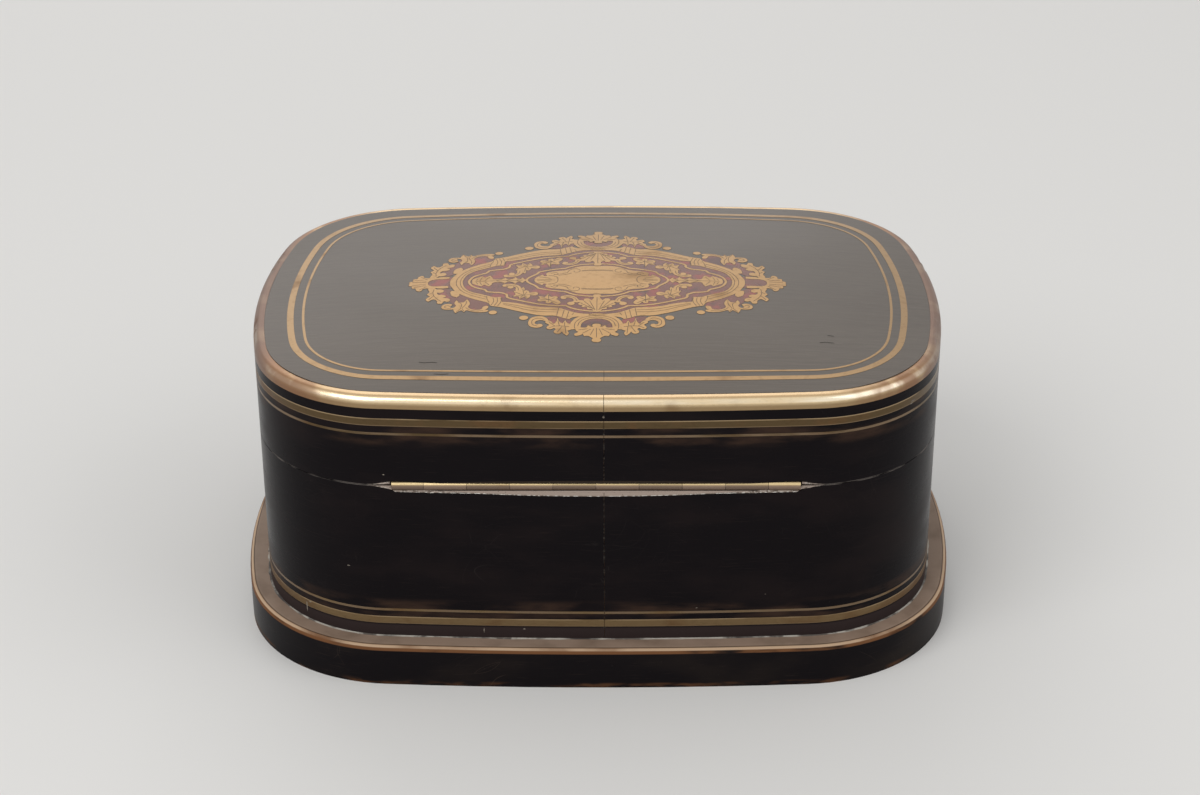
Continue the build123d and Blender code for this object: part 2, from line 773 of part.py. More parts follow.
with BuildPart() as escutcheon_pins:
    with BuildSketch(front_plane(front_face, 0)):
        with Locations(*escutcheon_pin_places):
            Circle(escutcheon_pin_radius)
    extrude(amount=-escutcheon_pin_length)
escutcheon_pins.part.label = "escutcheon_pins"
export_step(escutcheon_pins.part, "parts/escutcheon_pins.step")

# Key: a pipe key, at rest with its bit against the unlocked end of the bolt's talon
half_throw = radians(key_throw_angle / 2)
key_plane = Plane(origin=(0, 0, key_height), x_dir=(0, 1, 0), z_dir=(cos(half_throw), 0, sin(half_throw)))
shank_inner_end = lock_middle_y + key_bit_width / 2
bow_middle_y = front_face - key_shank_projection - key_bow_length / 2 + key_bow_band / 2
with BuildPart() as key:
    with BuildSketch(key_plane):
        with Locations((bow_middle_y, 0)):
            Ellipse(key_bow_length / 2, key_bow_width / 2)
            Ellipse(key_bow_length / 2 - key_bow_band, key_bow_width / 2 - key_bow_band, mode=Mode.SUBTRACT)
    extrude(amount=key_bow_thickness / 2, both=True)
    with BuildSketch(key_plane):
        with Locations((lock_middle_y, key_bit_radius / 2)):
            Rectangle(key_bit_width, key_bit_radius)
    extrude(amount=key_bit_thickness / 2, both=True)
    with BuildSketch(front_plane(shank_inner_end, key_height)):
        Circle(key_shank_radius)
    extrude(amount=shank_inner_end - front_face + key_shank_projection)
    with BuildSketch(front_plane(front_face - key_collar_length, key_height)):
        Circle(key_collar_radius)
    extrude(amount=key_collar_length)
    with BuildSketch(front_plane(shank_inner_end, key_height)):
        Circle(drill_pin_radius + drill_pin_clearance)
    extrude(amount=lock_box_depth + keyhole_clearance, mode=Mode.SUBTRACT)
key.part.label = "key"
export_step(key.part, "parts/key.step")

# Lift-out tray
with BuildPart() as tray_floor:
    board(tray_bottom, tray_inner_bottom, tray_inset)
tray_floor.part.label = "tray_floor"
export_step(tray_floor.part, "parts/tray_floor.step")

with BuildPart() as tray_wall:
    ring_wall(tray_inner_bottom, tray_top, tray_inset, tray_inset + tray_wall_thickness)
tray_wall.part.label = "tray_wall"
export_step(tray_wall.part, "parts/tray_wall.step")

tray_inner_inset = tray_inset + tray_wall_thickness + fitting_gap
with BuildPart() as tray_dividers_cross:
    with BuildSketch(Plane.XY.offset(tray_inner_bottom)):
        with Locations((-divider_x, 0), (divider_x, 0)):
            Rectangle(divider_thickness, case_depth)
        casket_outline(tray_inner_inset, Mode.INTERSECT)
    extrude(amount=divider_height)
tray_dividers_cross.part.label = "tray_dividers_cross"
export_step(tray_dividers_cross.part, "parts/tray_dividers_cross.step")

with BuildPart() as tray_dividers_long:
    with BuildSketch(Plane.XY.offset(tray_inner_bottom)):
        with Locations((0, divider_y)):
            Rectangle(case_length, divider_thickness)
        with Locations((-divider_x, divider_y), (divider_x, divider_y)):
            Rectangle(divider_thickness + 2 * fitting_gap, 2 * divider_thickness, mode=Mode.SUBTRACT)
        casket_outline(tray_inner_inset, Mode.INTERSECT)
    extrude(amount=divider_height)
tray_dividers_long.part.label = "tray_dividers_long"
export_step(tray_dividers_long.part, "parts/tray_dividers_long.step")

roll_bay_width = 2 * divider_x - divider_thickness
roll_bay_front = divider_y + divider_thickness / 2
with BuildPart() as tray_pads:
    with BuildSketch(Plane.XY.offset(tray_inner_bottom + fitting_gap)):
        casket_outline(tray_inner_inset + soft_gap)
        with Locations((-divider_x, 0), (divider_x, 0)):
            Rectangle(divider_thickness + 2 * soft_gap, case_depth, mode=Mode.SUBTRACT)
        with Locations((0, divider_y)):
            Rectangle(case_length, divider_thickness + 2 * soft_gap, mode=Mode.SUBTRACT)
        with Locations((0, roll_bay_front + case_depth / 2)):
            Rectangle(roll_bay_width, case_depth, mode=Mode.SUBTRACT)
    extrude(amount=tray_pad_thickness)
tray_pads.part.label = "tray_pads"
export_step(tray_pads.part, "parts/tray_pads.step")

roll_radius = ring_roll_diameter / 2
with BuildPart() as ring_rolls:
    with BuildSketch(Plane.YZ.offset(-roll_bay_width / 2 + soft_gap)):
        for number in range(ring_roll_count):
            roll_y = roll_bay_front + (number + 0.5) * ring_roll_pitch + soft_gap
            with Locations((roll_y, tray_inner_bottom + soft_gap + roll_radius)):
                Circle(roll_radius)
    extrude(amount=roll_bay_width - 2 * soft_gap)
ring_rolls.part.label = "ring_rolls"
export_step(ring_rolls.part, "parts/ring_rolls.step")

tab_outer_x = half_length - tray_inner_inset - soft_gap
with BuildPart() as tray_tabs:
    for side in (-1, 1):
        inner_x = side * (tab_outer_x - tab_thickness)
        outer_x = side * tab_outer_x
        block(
            (min(inner_x, outer_x), -tab_width / 2, tray_top - tab_hang),
            (max(inner_x, outer_x), tab_width / 2, tray_top + tab_rise),
        )
tray_tabs.part.label = "tray_tabs"
export_step(tray_tabs.part, "parts/tray_tabs.step")

# Carcass of the lid: an upright ring under a domed board that is hollowed below
with BuildPart() as lid_wall:
    ring_wall(lid_bottom, panel_seat_height, bare_inset, wall_thickness)
    cut_hinge_seat(1)
    screws_at(lid_hinge_screw_places, screw_length, screw_clearance, Mode.SUBTRACT)
    screws_at(link_screw_places, screw_length, screw_clearance, Mode.SUBTRACT)
    block(
        (-lock_recess_half, selvedge_front - leaf_clearance, lid_bottom - 1),
        (lock_recess_half, inner_front + 1, lid_bottom + link_plate_thickness + glue_line),
        mode=Mode.SUBTRACT,
    )
lid_wall.part.label = "lid_wall"
export_step(lid_wall.part, "parts/lid_wall.step")

with BuildPart() as lid_hollow:
    board(panel_seat_height - 1, lid_edge_height + dome_rise, wall_thickness)
    add(dome_cap(panel_thickness), mode=Mode.SUBTRACT)

with BuildPart() as lid_panel:
    board(panel_seat_height + glue_line, lid_edge_height + 2 * dome_rise, bare_inset)
    add(dome_cap(bare_inset), mode=Mode.SUBTRACT)
    with BuildSketch(Plane.XY.offset(rim_bottom - glue_line)):
        casket_ring(-1, rim_width + glue_line)
    extrude(amount=2 * rim_height, mode=Mode.SUBTRACT)
    add(lid_hollow.part, mode=Mode.SUBTRACT)
lid_panel.part.label = "lid_panel"
export_step(lid_panel.part, "parts/lid_panel.step")

# Ebonised veneer of the lid's sides, in the strips that the strings leave
with BuildPart() as lid_veneer:
    lid_strips = [
        (lid_bottom, lid_thin_line_height - thin_line_half),
        (lid_thin_line_height + thin_line_half, lid_wide_line_height - wide_line_half),
        (lid_wide_line_height + wide_line_half, rim_bottom - glue_line),
    ]
    for strip_bottom, strip_top in lid_strips:
        ring_wall(strip_bottom, strip_top, 0, veneer_thickness)
    cut_hinge_seat(1)
    cut_butt_joint()
lid_veneer.part.label = "lid_veneer"
export_step(lid_veneer.part, "parts/lid_veneer.step")

with BuildPart() as lid_line_wide:
    side_line(lid_wide_line_height, side_wide_line_width)
lid_line_wide.part.label = "lid_line_wide"
export_step(lid_line_wide.part, "parts/lid_line_wide.step")

with BuildPart() as lid_line_thin:
    side_line(lid_thin_line_height, side_thin_line_width)
lid_line_thin.part.label = "lid_line_thin"
export_step(lid_line_thin.part, "parts/lid_line_thin.step")

# Brass band over the lid's top edge
with BuildPart() as rim_band:
    board(rim_bottom, lid_edge_height, 0)
    fillet(rim_band.faces().sort_by(Axis.Z)[-1].outer_wire().edges(), radius=rim_round_radius)
    board(rim_bottom - 1, lid_edge_height + 1, rim_width, mode=Mode.SUBTRACT)
    cut_butt_joint()
rim_band.part.label = "rim_band"
export_step(rim_band.part, "parts/rim_band.step")

# Top veneer, strings and marquetry, all of one thickness and flush with the dome
with BuildPart() as lid_top_veneer:
    board(lid_bottom, lid_edge_height + 2 * dome_rise, rim_width + glue_line)
    add(dome_layer(0, veneer_thickness), mode=Mode.INTERSECT)
    grooves = ((top_wide_line_inset, top_wide_line_width), (top_thin_line_inset, top_thin_line_width))
    for line_inset, line_width in grooves:
        half_groove = line_width / 2 + inlay_clearance
        with BuildSketch(Plane.XY.offset(rim_bottom)):
            casket_ring(line_inset - half_groove, line_inset + half_groove)
        extrude(amount=tall, mode=Mode.SUBTRACT)
    with BuildSketch(Plane.XY.offset(rim_bottom)):
        mirrored_outline(shell_quarter)
        offset(amount=inlay_clearance)
    extrude(amount=tall, mode=Mode.SUBTRACT)
lid_top_veneer.part.label = "lid_top_veneer"
export_step(lid_top_veneer.part, "parts/lid_top_veneer.step")

with BuildPart() as top_line_wide:
    top_line(top_wide_line_inset, top_wide_line_width)
top_line_wide.part.label = "top_line_wide"
export_step(top_line_wide.part, "parts/top_line_wide.step")

with BuildPart() as top_line_thin:
    top_line(top_thin_line_inset, top_thin_line_width)
top_line_thin.part.label = "top_line_thin"
export_step(top_line_thin.part, "parts/top_line_thin.step")

with BuildSketch() as band_shape:
    outline_band(band_quarter, band_width)
    with Locations((0, -ring_centre_y), (0, ring_centre_y)):
        Circle(ring_outer_radius + inlay_clearance, mode=Mode.SUBTRACT)
with BuildSketch() as thread_shape:
    outline_band(thread_quarter, thread_width)
with BuildSketch() as medallion_line_shape:
    outline_band(medallion_quarter, medallion_line_width)
with BuildSketch() as medallion_shape:
    mirrored_outline(medallion_quarter)
    offset(amount=-medallion_line_width - medallion_plate_gap, mode=Mode.REPLACE)
with BuildSketch() as rings_shape:
    with Locations((0, -ring_centre_y), (0, ring_centre_y)):
        Circle(ring_outer_radius)
        Circle(ring_outer_radius - ring_band, mode=Mode.SUBTRACT)
with BuildSketch() as leaves_shape:
    for root_x, root_y, angle, length, width in quarter_leaves:
        for side_x in (1, -1):
            for side_y in (1, -1):
                turned = angle * side_y if side_x > 0 else 180 - angle * side_y
                leaf(side_x * root_x, side_y * root_y, turned, length, width)
    for root_x, root_y, angle, length, width in axis_leaves:
        leaf(root_x, root_y, angle, length, width)
        leaf(-root_x, root_y, 180 - angle, length, width)
    for root_x, root_y, angle, length, width in fan_leaves:
        leaf(root_x, root_y, angle, length, width)
        leaf(root_x, -root_y, -angle, length, width)

with BuildPart() as marquetry_shell:
    with BuildSketch(Plane.XY.offset(rim_bottom)):
        mirrored_outline(shell_quarter)
        for shape in (band_shape, thread_shape, medallion_line_shape, medallion_shape, rings_shape):
            add(offset(shape.sketch, amount=inlay_clearance, mode=Mode.PRIVATE), mode=Mode.SUBTRACT)
        add(offset(leaves_shape.sketch, amount=inlay_clearance, mode=Mode.PRIVATE), mode=Mode.SUBTRACT)
    extrude(amount=4 * dome_rise)
    add(dome_layer(0, veneer_thickness), mode=Mode.INTERSECT)
marquetry_shell.part.label = "marquetry_shell"
export_step(marquetry_shell.part, "parts/marquetry_shell.step")

with BuildPart() as marquetry_band:
    inlay(band_shape.sketch)
marquetry_band.part.label = "marquetry_band"
export_step(marquetry_band.part, "parts/marquetry_band.step")

with BuildPart() as marquetry_thread:
    inlay(thread_shape.sketch)
marquetry_thread.part.label = "marquetry_thread"
export_step(marquetry_thread.part, "parts/marquetry_thread.step")

with BuildPart() as marquetry_medallion_line:
    inlay(medallion_line_shape.sketch)
marquetry_medallion_line.part.label = "marquetry_medallion_line"
export_step(marquetry_medallion_line.part, "parts/marquetry_medallion_line.step")

with BuildPart() as marquetry_medallion:
    inlay(medallion_shape.sketch)
marquetry_medallion.part.label = "marquetry_medallion"
export_step(marquetry_medallion.part, "parts/marquetry_medallion.step")

with BuildPart() as marquetry_rings:
    inlay(rings_shape.sketch)
marquetry_rings.part.label = "marquetry_rings"
export_step(marquetry_rings.part, "parts/marquetry_rings.step")

with BuildPart() as marquetry_leaves:
    inlay(leaves_shape.sketch)
marquetry_leaves.part.label = "marquetry_leaves"
export_step(marquetry_leaves.part, "parts/marquetry_leaves.step")

# Fittings inside the lid
with BuildPart() as lid_lining:
    lid_lining_inset = wall_thickness + soft_gap
    ring_wall(lid_lining_bottom, lid_lining_top, lid_lining_inset, lid_lining_inset + lid_lining_thickness)
lid_lining.part.label = "lid_lining"
export_step(lid_lining.part, "parts/lid_lining.step")

button_places = [
    ((column + (row % 2) / 2) * button_pitch_x, row * button_pitch_y / 2)
    for row in range(-button_rows, button_rows + 1)
    for column in range(-button_columns, button_columns + 1 - row % 2)
]
with BuildPart() as lid_pad:
    board(lid_pad_bottom, lid_edge_height + 2 * dome_rise, lid_pad_inset)
    add(dome_cap(panel_thickness + soft_gap), mode=Mode.SUBTRACT)
    with BuildSketch(Plane.XY.offset(lid_pad_bottom)):
        with Locations(*button_places):
            Circle(button_radius + soft_gap)
    extrude(amount=button_sink + button_height, mode=Mode.SUBTRACT)
lid_pad.part.label = "lid_pad"
export_step(lid_pad.part, "parts/lid_pad.step")

with BuildPart() as lid_pad_buttons:
    with BuildSketch(Plane.XY.offset(lid_pad_bottom + button_sink - soft_gap)):
        with Locations(*button_places):
            Circle(button_radius)
    extrude(amount=button_height)
lid_pad_buttons.part.label = "lid_pad_buttons"
export_step(lid_pad_buttons.part, "parts/lid_pad_buttons.step")
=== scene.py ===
import math

import bmesh
import bpy
from mathutils import Matrix, Vector, noise


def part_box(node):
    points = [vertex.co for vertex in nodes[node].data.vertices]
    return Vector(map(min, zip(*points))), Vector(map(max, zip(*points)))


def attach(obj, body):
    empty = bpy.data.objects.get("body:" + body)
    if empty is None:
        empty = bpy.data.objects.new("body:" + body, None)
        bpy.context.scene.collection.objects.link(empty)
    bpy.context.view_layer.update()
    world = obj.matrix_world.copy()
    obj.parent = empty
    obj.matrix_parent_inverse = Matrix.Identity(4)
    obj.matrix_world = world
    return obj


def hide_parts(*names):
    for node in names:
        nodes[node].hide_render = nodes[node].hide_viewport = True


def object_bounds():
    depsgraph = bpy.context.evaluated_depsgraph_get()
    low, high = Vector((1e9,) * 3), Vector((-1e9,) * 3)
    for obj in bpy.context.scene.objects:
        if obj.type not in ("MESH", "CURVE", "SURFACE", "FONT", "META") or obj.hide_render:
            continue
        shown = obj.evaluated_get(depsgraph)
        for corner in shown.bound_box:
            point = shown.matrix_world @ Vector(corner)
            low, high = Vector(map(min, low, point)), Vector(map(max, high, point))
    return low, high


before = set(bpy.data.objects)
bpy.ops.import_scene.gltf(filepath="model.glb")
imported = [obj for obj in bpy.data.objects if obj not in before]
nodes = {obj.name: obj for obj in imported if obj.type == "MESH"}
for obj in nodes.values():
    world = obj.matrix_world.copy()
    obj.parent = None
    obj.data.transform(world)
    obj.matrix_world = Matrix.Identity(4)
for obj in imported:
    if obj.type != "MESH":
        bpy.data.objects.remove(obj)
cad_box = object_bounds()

bl_info = {
    "name": "Jewelry casket",
    "version": (1, 0, 0),
    "blender": (4, 5, 0),
    "location": "3D View > Sidebar > Casket",
    "description": "Finishes a black casket with brass lines and a brass and shell panel",
    "category": "Object",
}

MM = 0.001

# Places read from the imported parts
rim_low, rim_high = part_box("rim_band")
HALF_LENGTH = rim_high.x
HALF_DEPTH = rim_high.y
RIM_WIDTH = HALF_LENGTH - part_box("lid_top_veneer")[1].x
DOME_CROWN = cad_box[1].z
DOME_EDGE = rim_high.z - 0.5 * MM
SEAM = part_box("lid_wall")[0].z - 0.15 * MM
PLINTH_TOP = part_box("plinth_moulding")[1].z
HINGE_Y = (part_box("hinge_pin")[0].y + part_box("hinge_pin")[1].y) / 2
HINGE_HALF_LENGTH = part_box("hinge_pin")[1].x

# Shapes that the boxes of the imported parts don't tell
CORNER_RADIUS = 54 * MM
LONG_BOW_RADIUS = 1300 * MM
SHORT_BOW_RADIUS = 240 * MM
LONG_DROP = LONG_BOW_RADIUS - HALF_DEPTH
SHORT_DROP = SHORT_BOW_RADIUS - HALF_LENGTH
BUTT_JOINT_X = -3 * MM
CHAMFER_FALL = math.tan(math.radians(48))
DOME_CELL = 6 * MM


def dome_height(x, y):
    """Height of the lid's domed surface."""
    across = 1 - (x / HALF_LENGTH) ** 2
    return DOME_EDGE + (DOME_CROWN - DOME_EDGE) * across * (1 - (y / HALF_DEPTH) ** 2)


# Outlines and flat shapes

def corner_centre():
    """Centre of the corner arc that meets both bowed sides."""
    long_reach = LONG_BOW_RADIUS - CORNER_RADIUS
    short_reach = SHORT_BOW_RADIUS - CORNER_RADIUS
    slope = SHORT_DROP / LONG_DROP
    level = (long_reach**2 - short_reach**2 - LONG_DROP**2 + SHORT_DROP**2) / (2 * LONG_DROP)
    square = 1 + slope**2
    linear = SHORT_DROP + slope * level
    constant = SHORT_DROP**2 + level**2 - short_reach**2
    x = (-linear + math.sqrt(linear**2 - square * constant)) / square
    return x, level + slope * x


CORNER = corner_centre()


def outline(inset, steps=10):
    """The casket's outline moved in by inset, as points that run all the way round."""
    x, y = CORNER
    first = math.atan2(y, x + SHORT_DROP)
    last = math.atan2(y + LONG_DROP, x)
    arcs = (
        ((-SHORT_DROP, 0), SHORT_BOW_RADIUS - inset, 0, first),
        ((x, y), CORNER_RADIUS - inset, first, last),
        ((0, -LONG_DROP), LONG_BOW_RADIUS - inset, last, math.pi / 2),
    )
    quarter = []
    for (centre_x, centre_y), radius, start, end in arcs:
        for step in range(steps):
            angle = start + (end - start) * step / steps
            quarter.append((centre_x + radius * math.cos(angle), centre_y + radius * math.sin(angle)))
    quarter.append((0, HALF_DEPTH - inset))
    return whole_loop(quarter)


def inset_of(x, y):
    """How far a point lies inside the casket's outline."""
    x, y = abs(x), abs(y)
    centre_x, centre_y = CORNER
    on_long_side = centre_x * (y + LONG_DROP) > (centre_y + LONG_DROP) * x
    on_short_side = (centre_x + SHORT_DROP) * y < centre_y * (x + SHORT_DROP)
    from_long = LONG_BOW_RADIUS - math.hypot(x, y + LONG_DROP)
    from_short = SHORT_BOW_RADIUS - math.hypot(x + SHORT_DROP, y)
    if on_long_side or on_short_side:
        return min(from_long if on_long_side else 1, from_short if on_short_side else 1)
    return CORNER_RADIUS - math.hypot(x - centre_x, y - centre_y)


def whole_loop(quarter):
    """A closed loop from its quarter, which runs from the X axis to the Y axis."""
    left = [(-p[0], *p[1:]) for p in reversed(quarter[:-1])]
    low = [(-p[0], -p[1], *p[2:]) for p in quarter[1:]]
    right = [(p[0], -p[1], *p[2:]) for p in reversed(quarter[1:-1])]
    return quarter + left + low + right


def four_ways(points):
    """A line and its three mirror images."""
    return [[(p[0] * a, p[1] * b, *p[2:]) for p in points] for a in (1, -1) for b in (1, -1)]


def across_x(points):
    """A loop at one end of the panel, closed across the X axis."""
    return points + [(p[0], -p[1], *p[2:]) for p in reversed(points) if p[1] > 0]


def across_y(points):
    """A loop on one long side of the panel, closed across the Y axis."""
    return points + [(-p[0], *p[1:]) for p in reversed(points) if p[0] > 0]


def disc(x, y, radius):
    """A round loop of eight points."""
    turns = [math.tau * step / 8 for step in range(8)]
    return [(x + radius * math.cos(turn), y + radius * math.sin(turn)) for turn in turns]


def in_metres(loops):
    """Loops drawn in millimetres, in the scene's own unit."""
    return [[(p[0] * MM, p[1] * MM, *p[2:]) for p in loop] for loop in loops]


def closed_loop(points, ways):
    """A closed loop from the drawn part of it, which may end on one axis or on both."""
    if ways == "once":
        return whole_loop(points)
    if ways == "ends":
        return across_x(points)
    if ways == "sides":
        return across_y(points)
    return points


def flat_pieces(pieces, grow=0.0):
    """Flat shapes, each filled by itself and then mirrored to its other places."""
    signs = {
        "once": ((1, 1),),
        "ends": ((1, 1), (-1, 1)),
        "sides": ((1, 1), (1, -1)),
        "four": ((1, 1), (-1, 1), (1, -1), (-1, -1)),
    }
    joined = bmesh.new()
    for ways, points in pieces:
        shape = curve_mesh(in_metres([closed_loop(points, ways)]), grow=grow)
        mesh = bpy.data.meshes.new("shape")
        shape.to_mesh(mesh)
        shape.free()
        for sign_x, sign_y in signs[ways]:
            before = len(joined.verts)
            joined.from_mesh(mesh)
            joined.verts.ensure_lookup_table()
            for vert in joined.verts[before:]:
                vert.co.x *= sign_x
                vert.co.y *= sign_y
        bpy.data.meshes.remove(mesh)
    bmesh.ops.recalc_face_normals(joined, faces=joined.faces)
    return joined


def curve_mesh(loops, closed=True, grow=0.0, section=None, resolution=5):
    """A mesh from flat curves: filled loops, or strips of the given width and height along paths."""
    data = bpy.data.curves.new("shape", "CURVE")
    data.dimensions = "3D" if section else "2D"
    data.resolution_u = resolution
    for loop in loops:
        spline = data.splines.new("BEZIER")
        spline.bezier_points.add(len(loop) - 1)
        spline.use_cyclic_u = closed
        for point, place in zip(spline.bezier_points, loop):
            point.co = (place[0], place[1], 0)
            kind = "VECTOR" if len(place) > 2 else "AUTO"
            point.handle_left_type = kind
            point.handle_right_type = kind
    side = None
    if section:
        profile = bpy.data.curves.new("section", "CURVE")
        line = profile.splines.new("POLY")
        line.points.add(3)
        line.use_cyclic_u = True
        for point, (x, y) in zip(line.points, ((-1, -1), (1, -1), (1, 1), (-1, 1))):
            point.co = (x * section[0] / 2, y * section[1] / 2, 0, 1)
        side = bpy.data.objects.new("section", profile)
        bpy.context.scene.collection.objects.link(side)
        data.bevel_mode = "OBJECT"
        data.bevel_object = side
        data.use_fill_caps = True
        data.twist_mode = "Z_UP"
    else:
        data.fill_mode = "BOTH"
        data.offset = grow
    holder = bpy.data.objects.new("shape", data)
    bpy.context.scene.collection.objects.link(holder)
    bpy.context.view_layer.update()
    made = bpy.data.meshes.new_from_object(holder.evaluated_get(bpy.context.evaluated_depsgraph_get()))
    bm = bmesh.new()
    bm.from_mesh(made)
    bpy.data.meshes.remove(made)
    bpy.data.objects.remove(holder)
    bpy.data.curves.remove(data)
    if side:
        profile = side.data
        bpy.data.objects.remove(side)
        bpy.data.curves.remove(profile)
    bmesh.ops.remove_doubles(bm, verts=bm.verts, dist=0.002 * MM)
    return bm


def plain_sheet(inset):
    """A flat sheet inside the casket's outline, as one face."""
    bm = bmesh.new()
    bm.faces.new([bm.verts.new((x, y, 0)) for x, y in outline(inset, 24)])
    return bm


def cut_across(bm, place, axis):
    """Cuts the faces of a mesh along a plane and keeps both sides."""
    everything = bm.verts[:] + bm.edges[:] + bm.faces[:]
    bmesh.ops.bisect_plane(bm, geom=everything, dist=1e-7, plane_co=place, plane_no=axis)


def round_edges(bm, edges, offset, segments):
    """Rounds some edges of a mesh."""
    bmesh.ops.bevel(
        bm, geom=edges, offset=offset, segments=segments, profile=0.5, affect="EDGES", material=-1
    )


def slice_grid(bm, cell):
    """Cuts a flat mesh along a square grid, so that it can follow a curved surface."""
    for axis in (Vector((1, 0, 0)), Vector((0, 1, 0))):
        reach = max(abs(v.co.dot(axis)) for v in bm.verts)
        count = int(reach / cell)
        for line in range(-count, count + 1):
            cut_across(bm, axis * (line + 0.5) * cell, axis)


def slab(bm, under, over):
    """Gives a flat mesh two sides, whose heights come from two functions of x and y."""
    grown = bmesh.ops.extrude_face_region(bm, geom=bm.faces[:])["geom"]
    upper = {item for item in grown if isinstance(item, bmesh.types.BMVert)}
    for vert in bm.verts:
        height = over if vert in upper else under
        vert.co.z = height(vert.co.x, vert.co.y)
    bmesh.ops.recalc_face_normals(bm, faces=bm.faces)


def finish_piece(bm, name, material, body, replaced=(), sharp=35.0):
    """Turns a bmesh into a piece of the casket."""
    for face in bm.faces:
        face.smooth = True
    for edge in bm.edges:
        edge.smooth = len(edge.link_faces) != 2 or edge.calc_face_angle(0) < math.radians(sharp)
    mesh = bpy.data.meshes.new(name)
    bm.to_mesh(mesh)
    bm.free()
    piece = bpy.data.objects.new(name, mesh)
    bpy.context.scene.collection.objects.link(piece)
    mesh.materials.append(material)
    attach(piece, body)
    if replaced:
        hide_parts(*replaced)
    return piece


def on_dome(bm, low, high):
    """Lays a flat shape on the dome as a thin plate between two heights above it."""
    slice_grid(bm, DOME_CELL)
    slab(bm, lambda x, y: dome_height(x, y) + low, lambda x, y: dome_height(x, y) + high)


def strips_on_dome(bm, lift):
    """Lays strips that were made flat on the dome."""
    for vert in bm.verts:
        vert.co.z += dome_height(vert.co.x, vert.co.y) + lift


def rail(steps):
    """Points round the outline, each with its way inwards and its distance along the outline."""
    outer = [Vector(p) for p in outline(0, steps)]
    inner = [Vector(p) for p in outline(MM, steps)]
    places, travelled = [], 0.0
    for index, point in enumerate(outer):
        if index:
            travelled += (point - outer[index - 1]).length
        places.append((point, (inner[index] - point) / MM, travelled))
    return places, travelled + (outer[0] - outer[-1]).length


def ring_sweep(profile, steps):
    """A closed ring round the outline, from a profile of insets and heights at each distance along it."""
    places, total = rail(steps)
    bm = bmesh.new()
    rows = []
    for point, inwards, travelled in places:
        row = []
        for inset, height in profile(travelled / total, total):
            spot = point + inwards * inset
            row.append(bm.verts.new((spot.x, spot.y, height)))
        rows.append(row)
    for row, after in zip(rows, rows[1:] + rows[:1]):
        for place, vert in enumerate(row):
            following = (place + 1) % len(row)
            bm.faces.new((vert, after[place], after[following], row[following]))
    bmesh.ops.recalc_face_normals(bm, faces=bm.faces)
    return bm


def outer_y(x):
    """The Y of the back side at a given X."""
    low, high = 0.0, HALF_DEPTH + 10 * MM
    for _ in range(30):
        middle = (low + high) / 2
        if inset_of(x, middle) > 0:
            low = middle
        else:
            high = middle
    return low


def node_copy(name):
    """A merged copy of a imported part's mesh."""
    bm = bmesh.new()
    bm.from_mesh(nodes[name].data)
    bmesh.ops.remove_doubles(bm, verts=bm.verts, dist=0.001 * MM)
    return bm


def solid_boxes(name):
    """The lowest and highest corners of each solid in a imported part."""
    bm = node_copy(name)
    left = set(bm.verts)
    boxes = []
    while left:
        group = [left.pop()]
        for vert in group:
            for edge in vert.link_edges:
                other = edge.other_vert(vert)
                if other in left:
                    left.remove(other)
                    group.append(other)
        low = Vector(min(v.co[i] for v in group) for i in range(3))
        high = Vector(max(v.co[i] for v in group) for i in range(3))
        boxes.append((low, high))
    bm.free()
    return sorted(boxes, key=lambda pair: tuple(round(c, 5) for c in pair[0]))


# Shader groups

def new_group(name, inputs, output):
    """A shader group with number inputs and one mask as output."""
    tree = bpy.data.node_groups.new(name, "ShaderNodeTree")
    for label, value in inputs:
        socket = tree.interface.new_socket(label, in_out="INPUT", socket_type="NodeSocketFloat")
        socket.default_value = value
    tree.interface.new_socket(output, in_out="OUTPUT", socket_type="NodeSocketFloat")
    return tree, tree.nodes.new("NodeGroupInput"), tree.nodes.new("NodeGroupOutput")


def add(tree, kind, values=None, **settings):
    """A new node with its settings and input values."""
    made = tree.nodes.new(kind)
    for key, value in settings.items():
        setattr(made, key, value)
    for key, value in (values or {}).items():
        if isinstance(value, bpy.types.NodeSocket):
            tree.links.new(value, made.inputs[key])
        else:
            made.inputs[key].default_value = value
    return made


def number(tree, operation, a, b=0.0):
    """The result of a sum on one or two values."""
    return add(tree, "ShaderNodeMath", {0: a, 1: b}, operation=operation).outputs[0]


def fade(tree, value, start, end):
    """0 before start, 1 after end, and smooth between."""
    made = add(tree, "ShaderNodeMapRange", {0: value, 1: start, 2: end}, interpolation_type="SMOOTHSTEP")
    return made.outputs[0]


def split_place(tree):
    """The place on the casket, split into X, Y and Z."""
    place = add(tree, "ShaderNodeTexCoord").outputs["Object"]
    return add(tree, "ShaderNodeSeparateXYZ", {0: place}).outputs


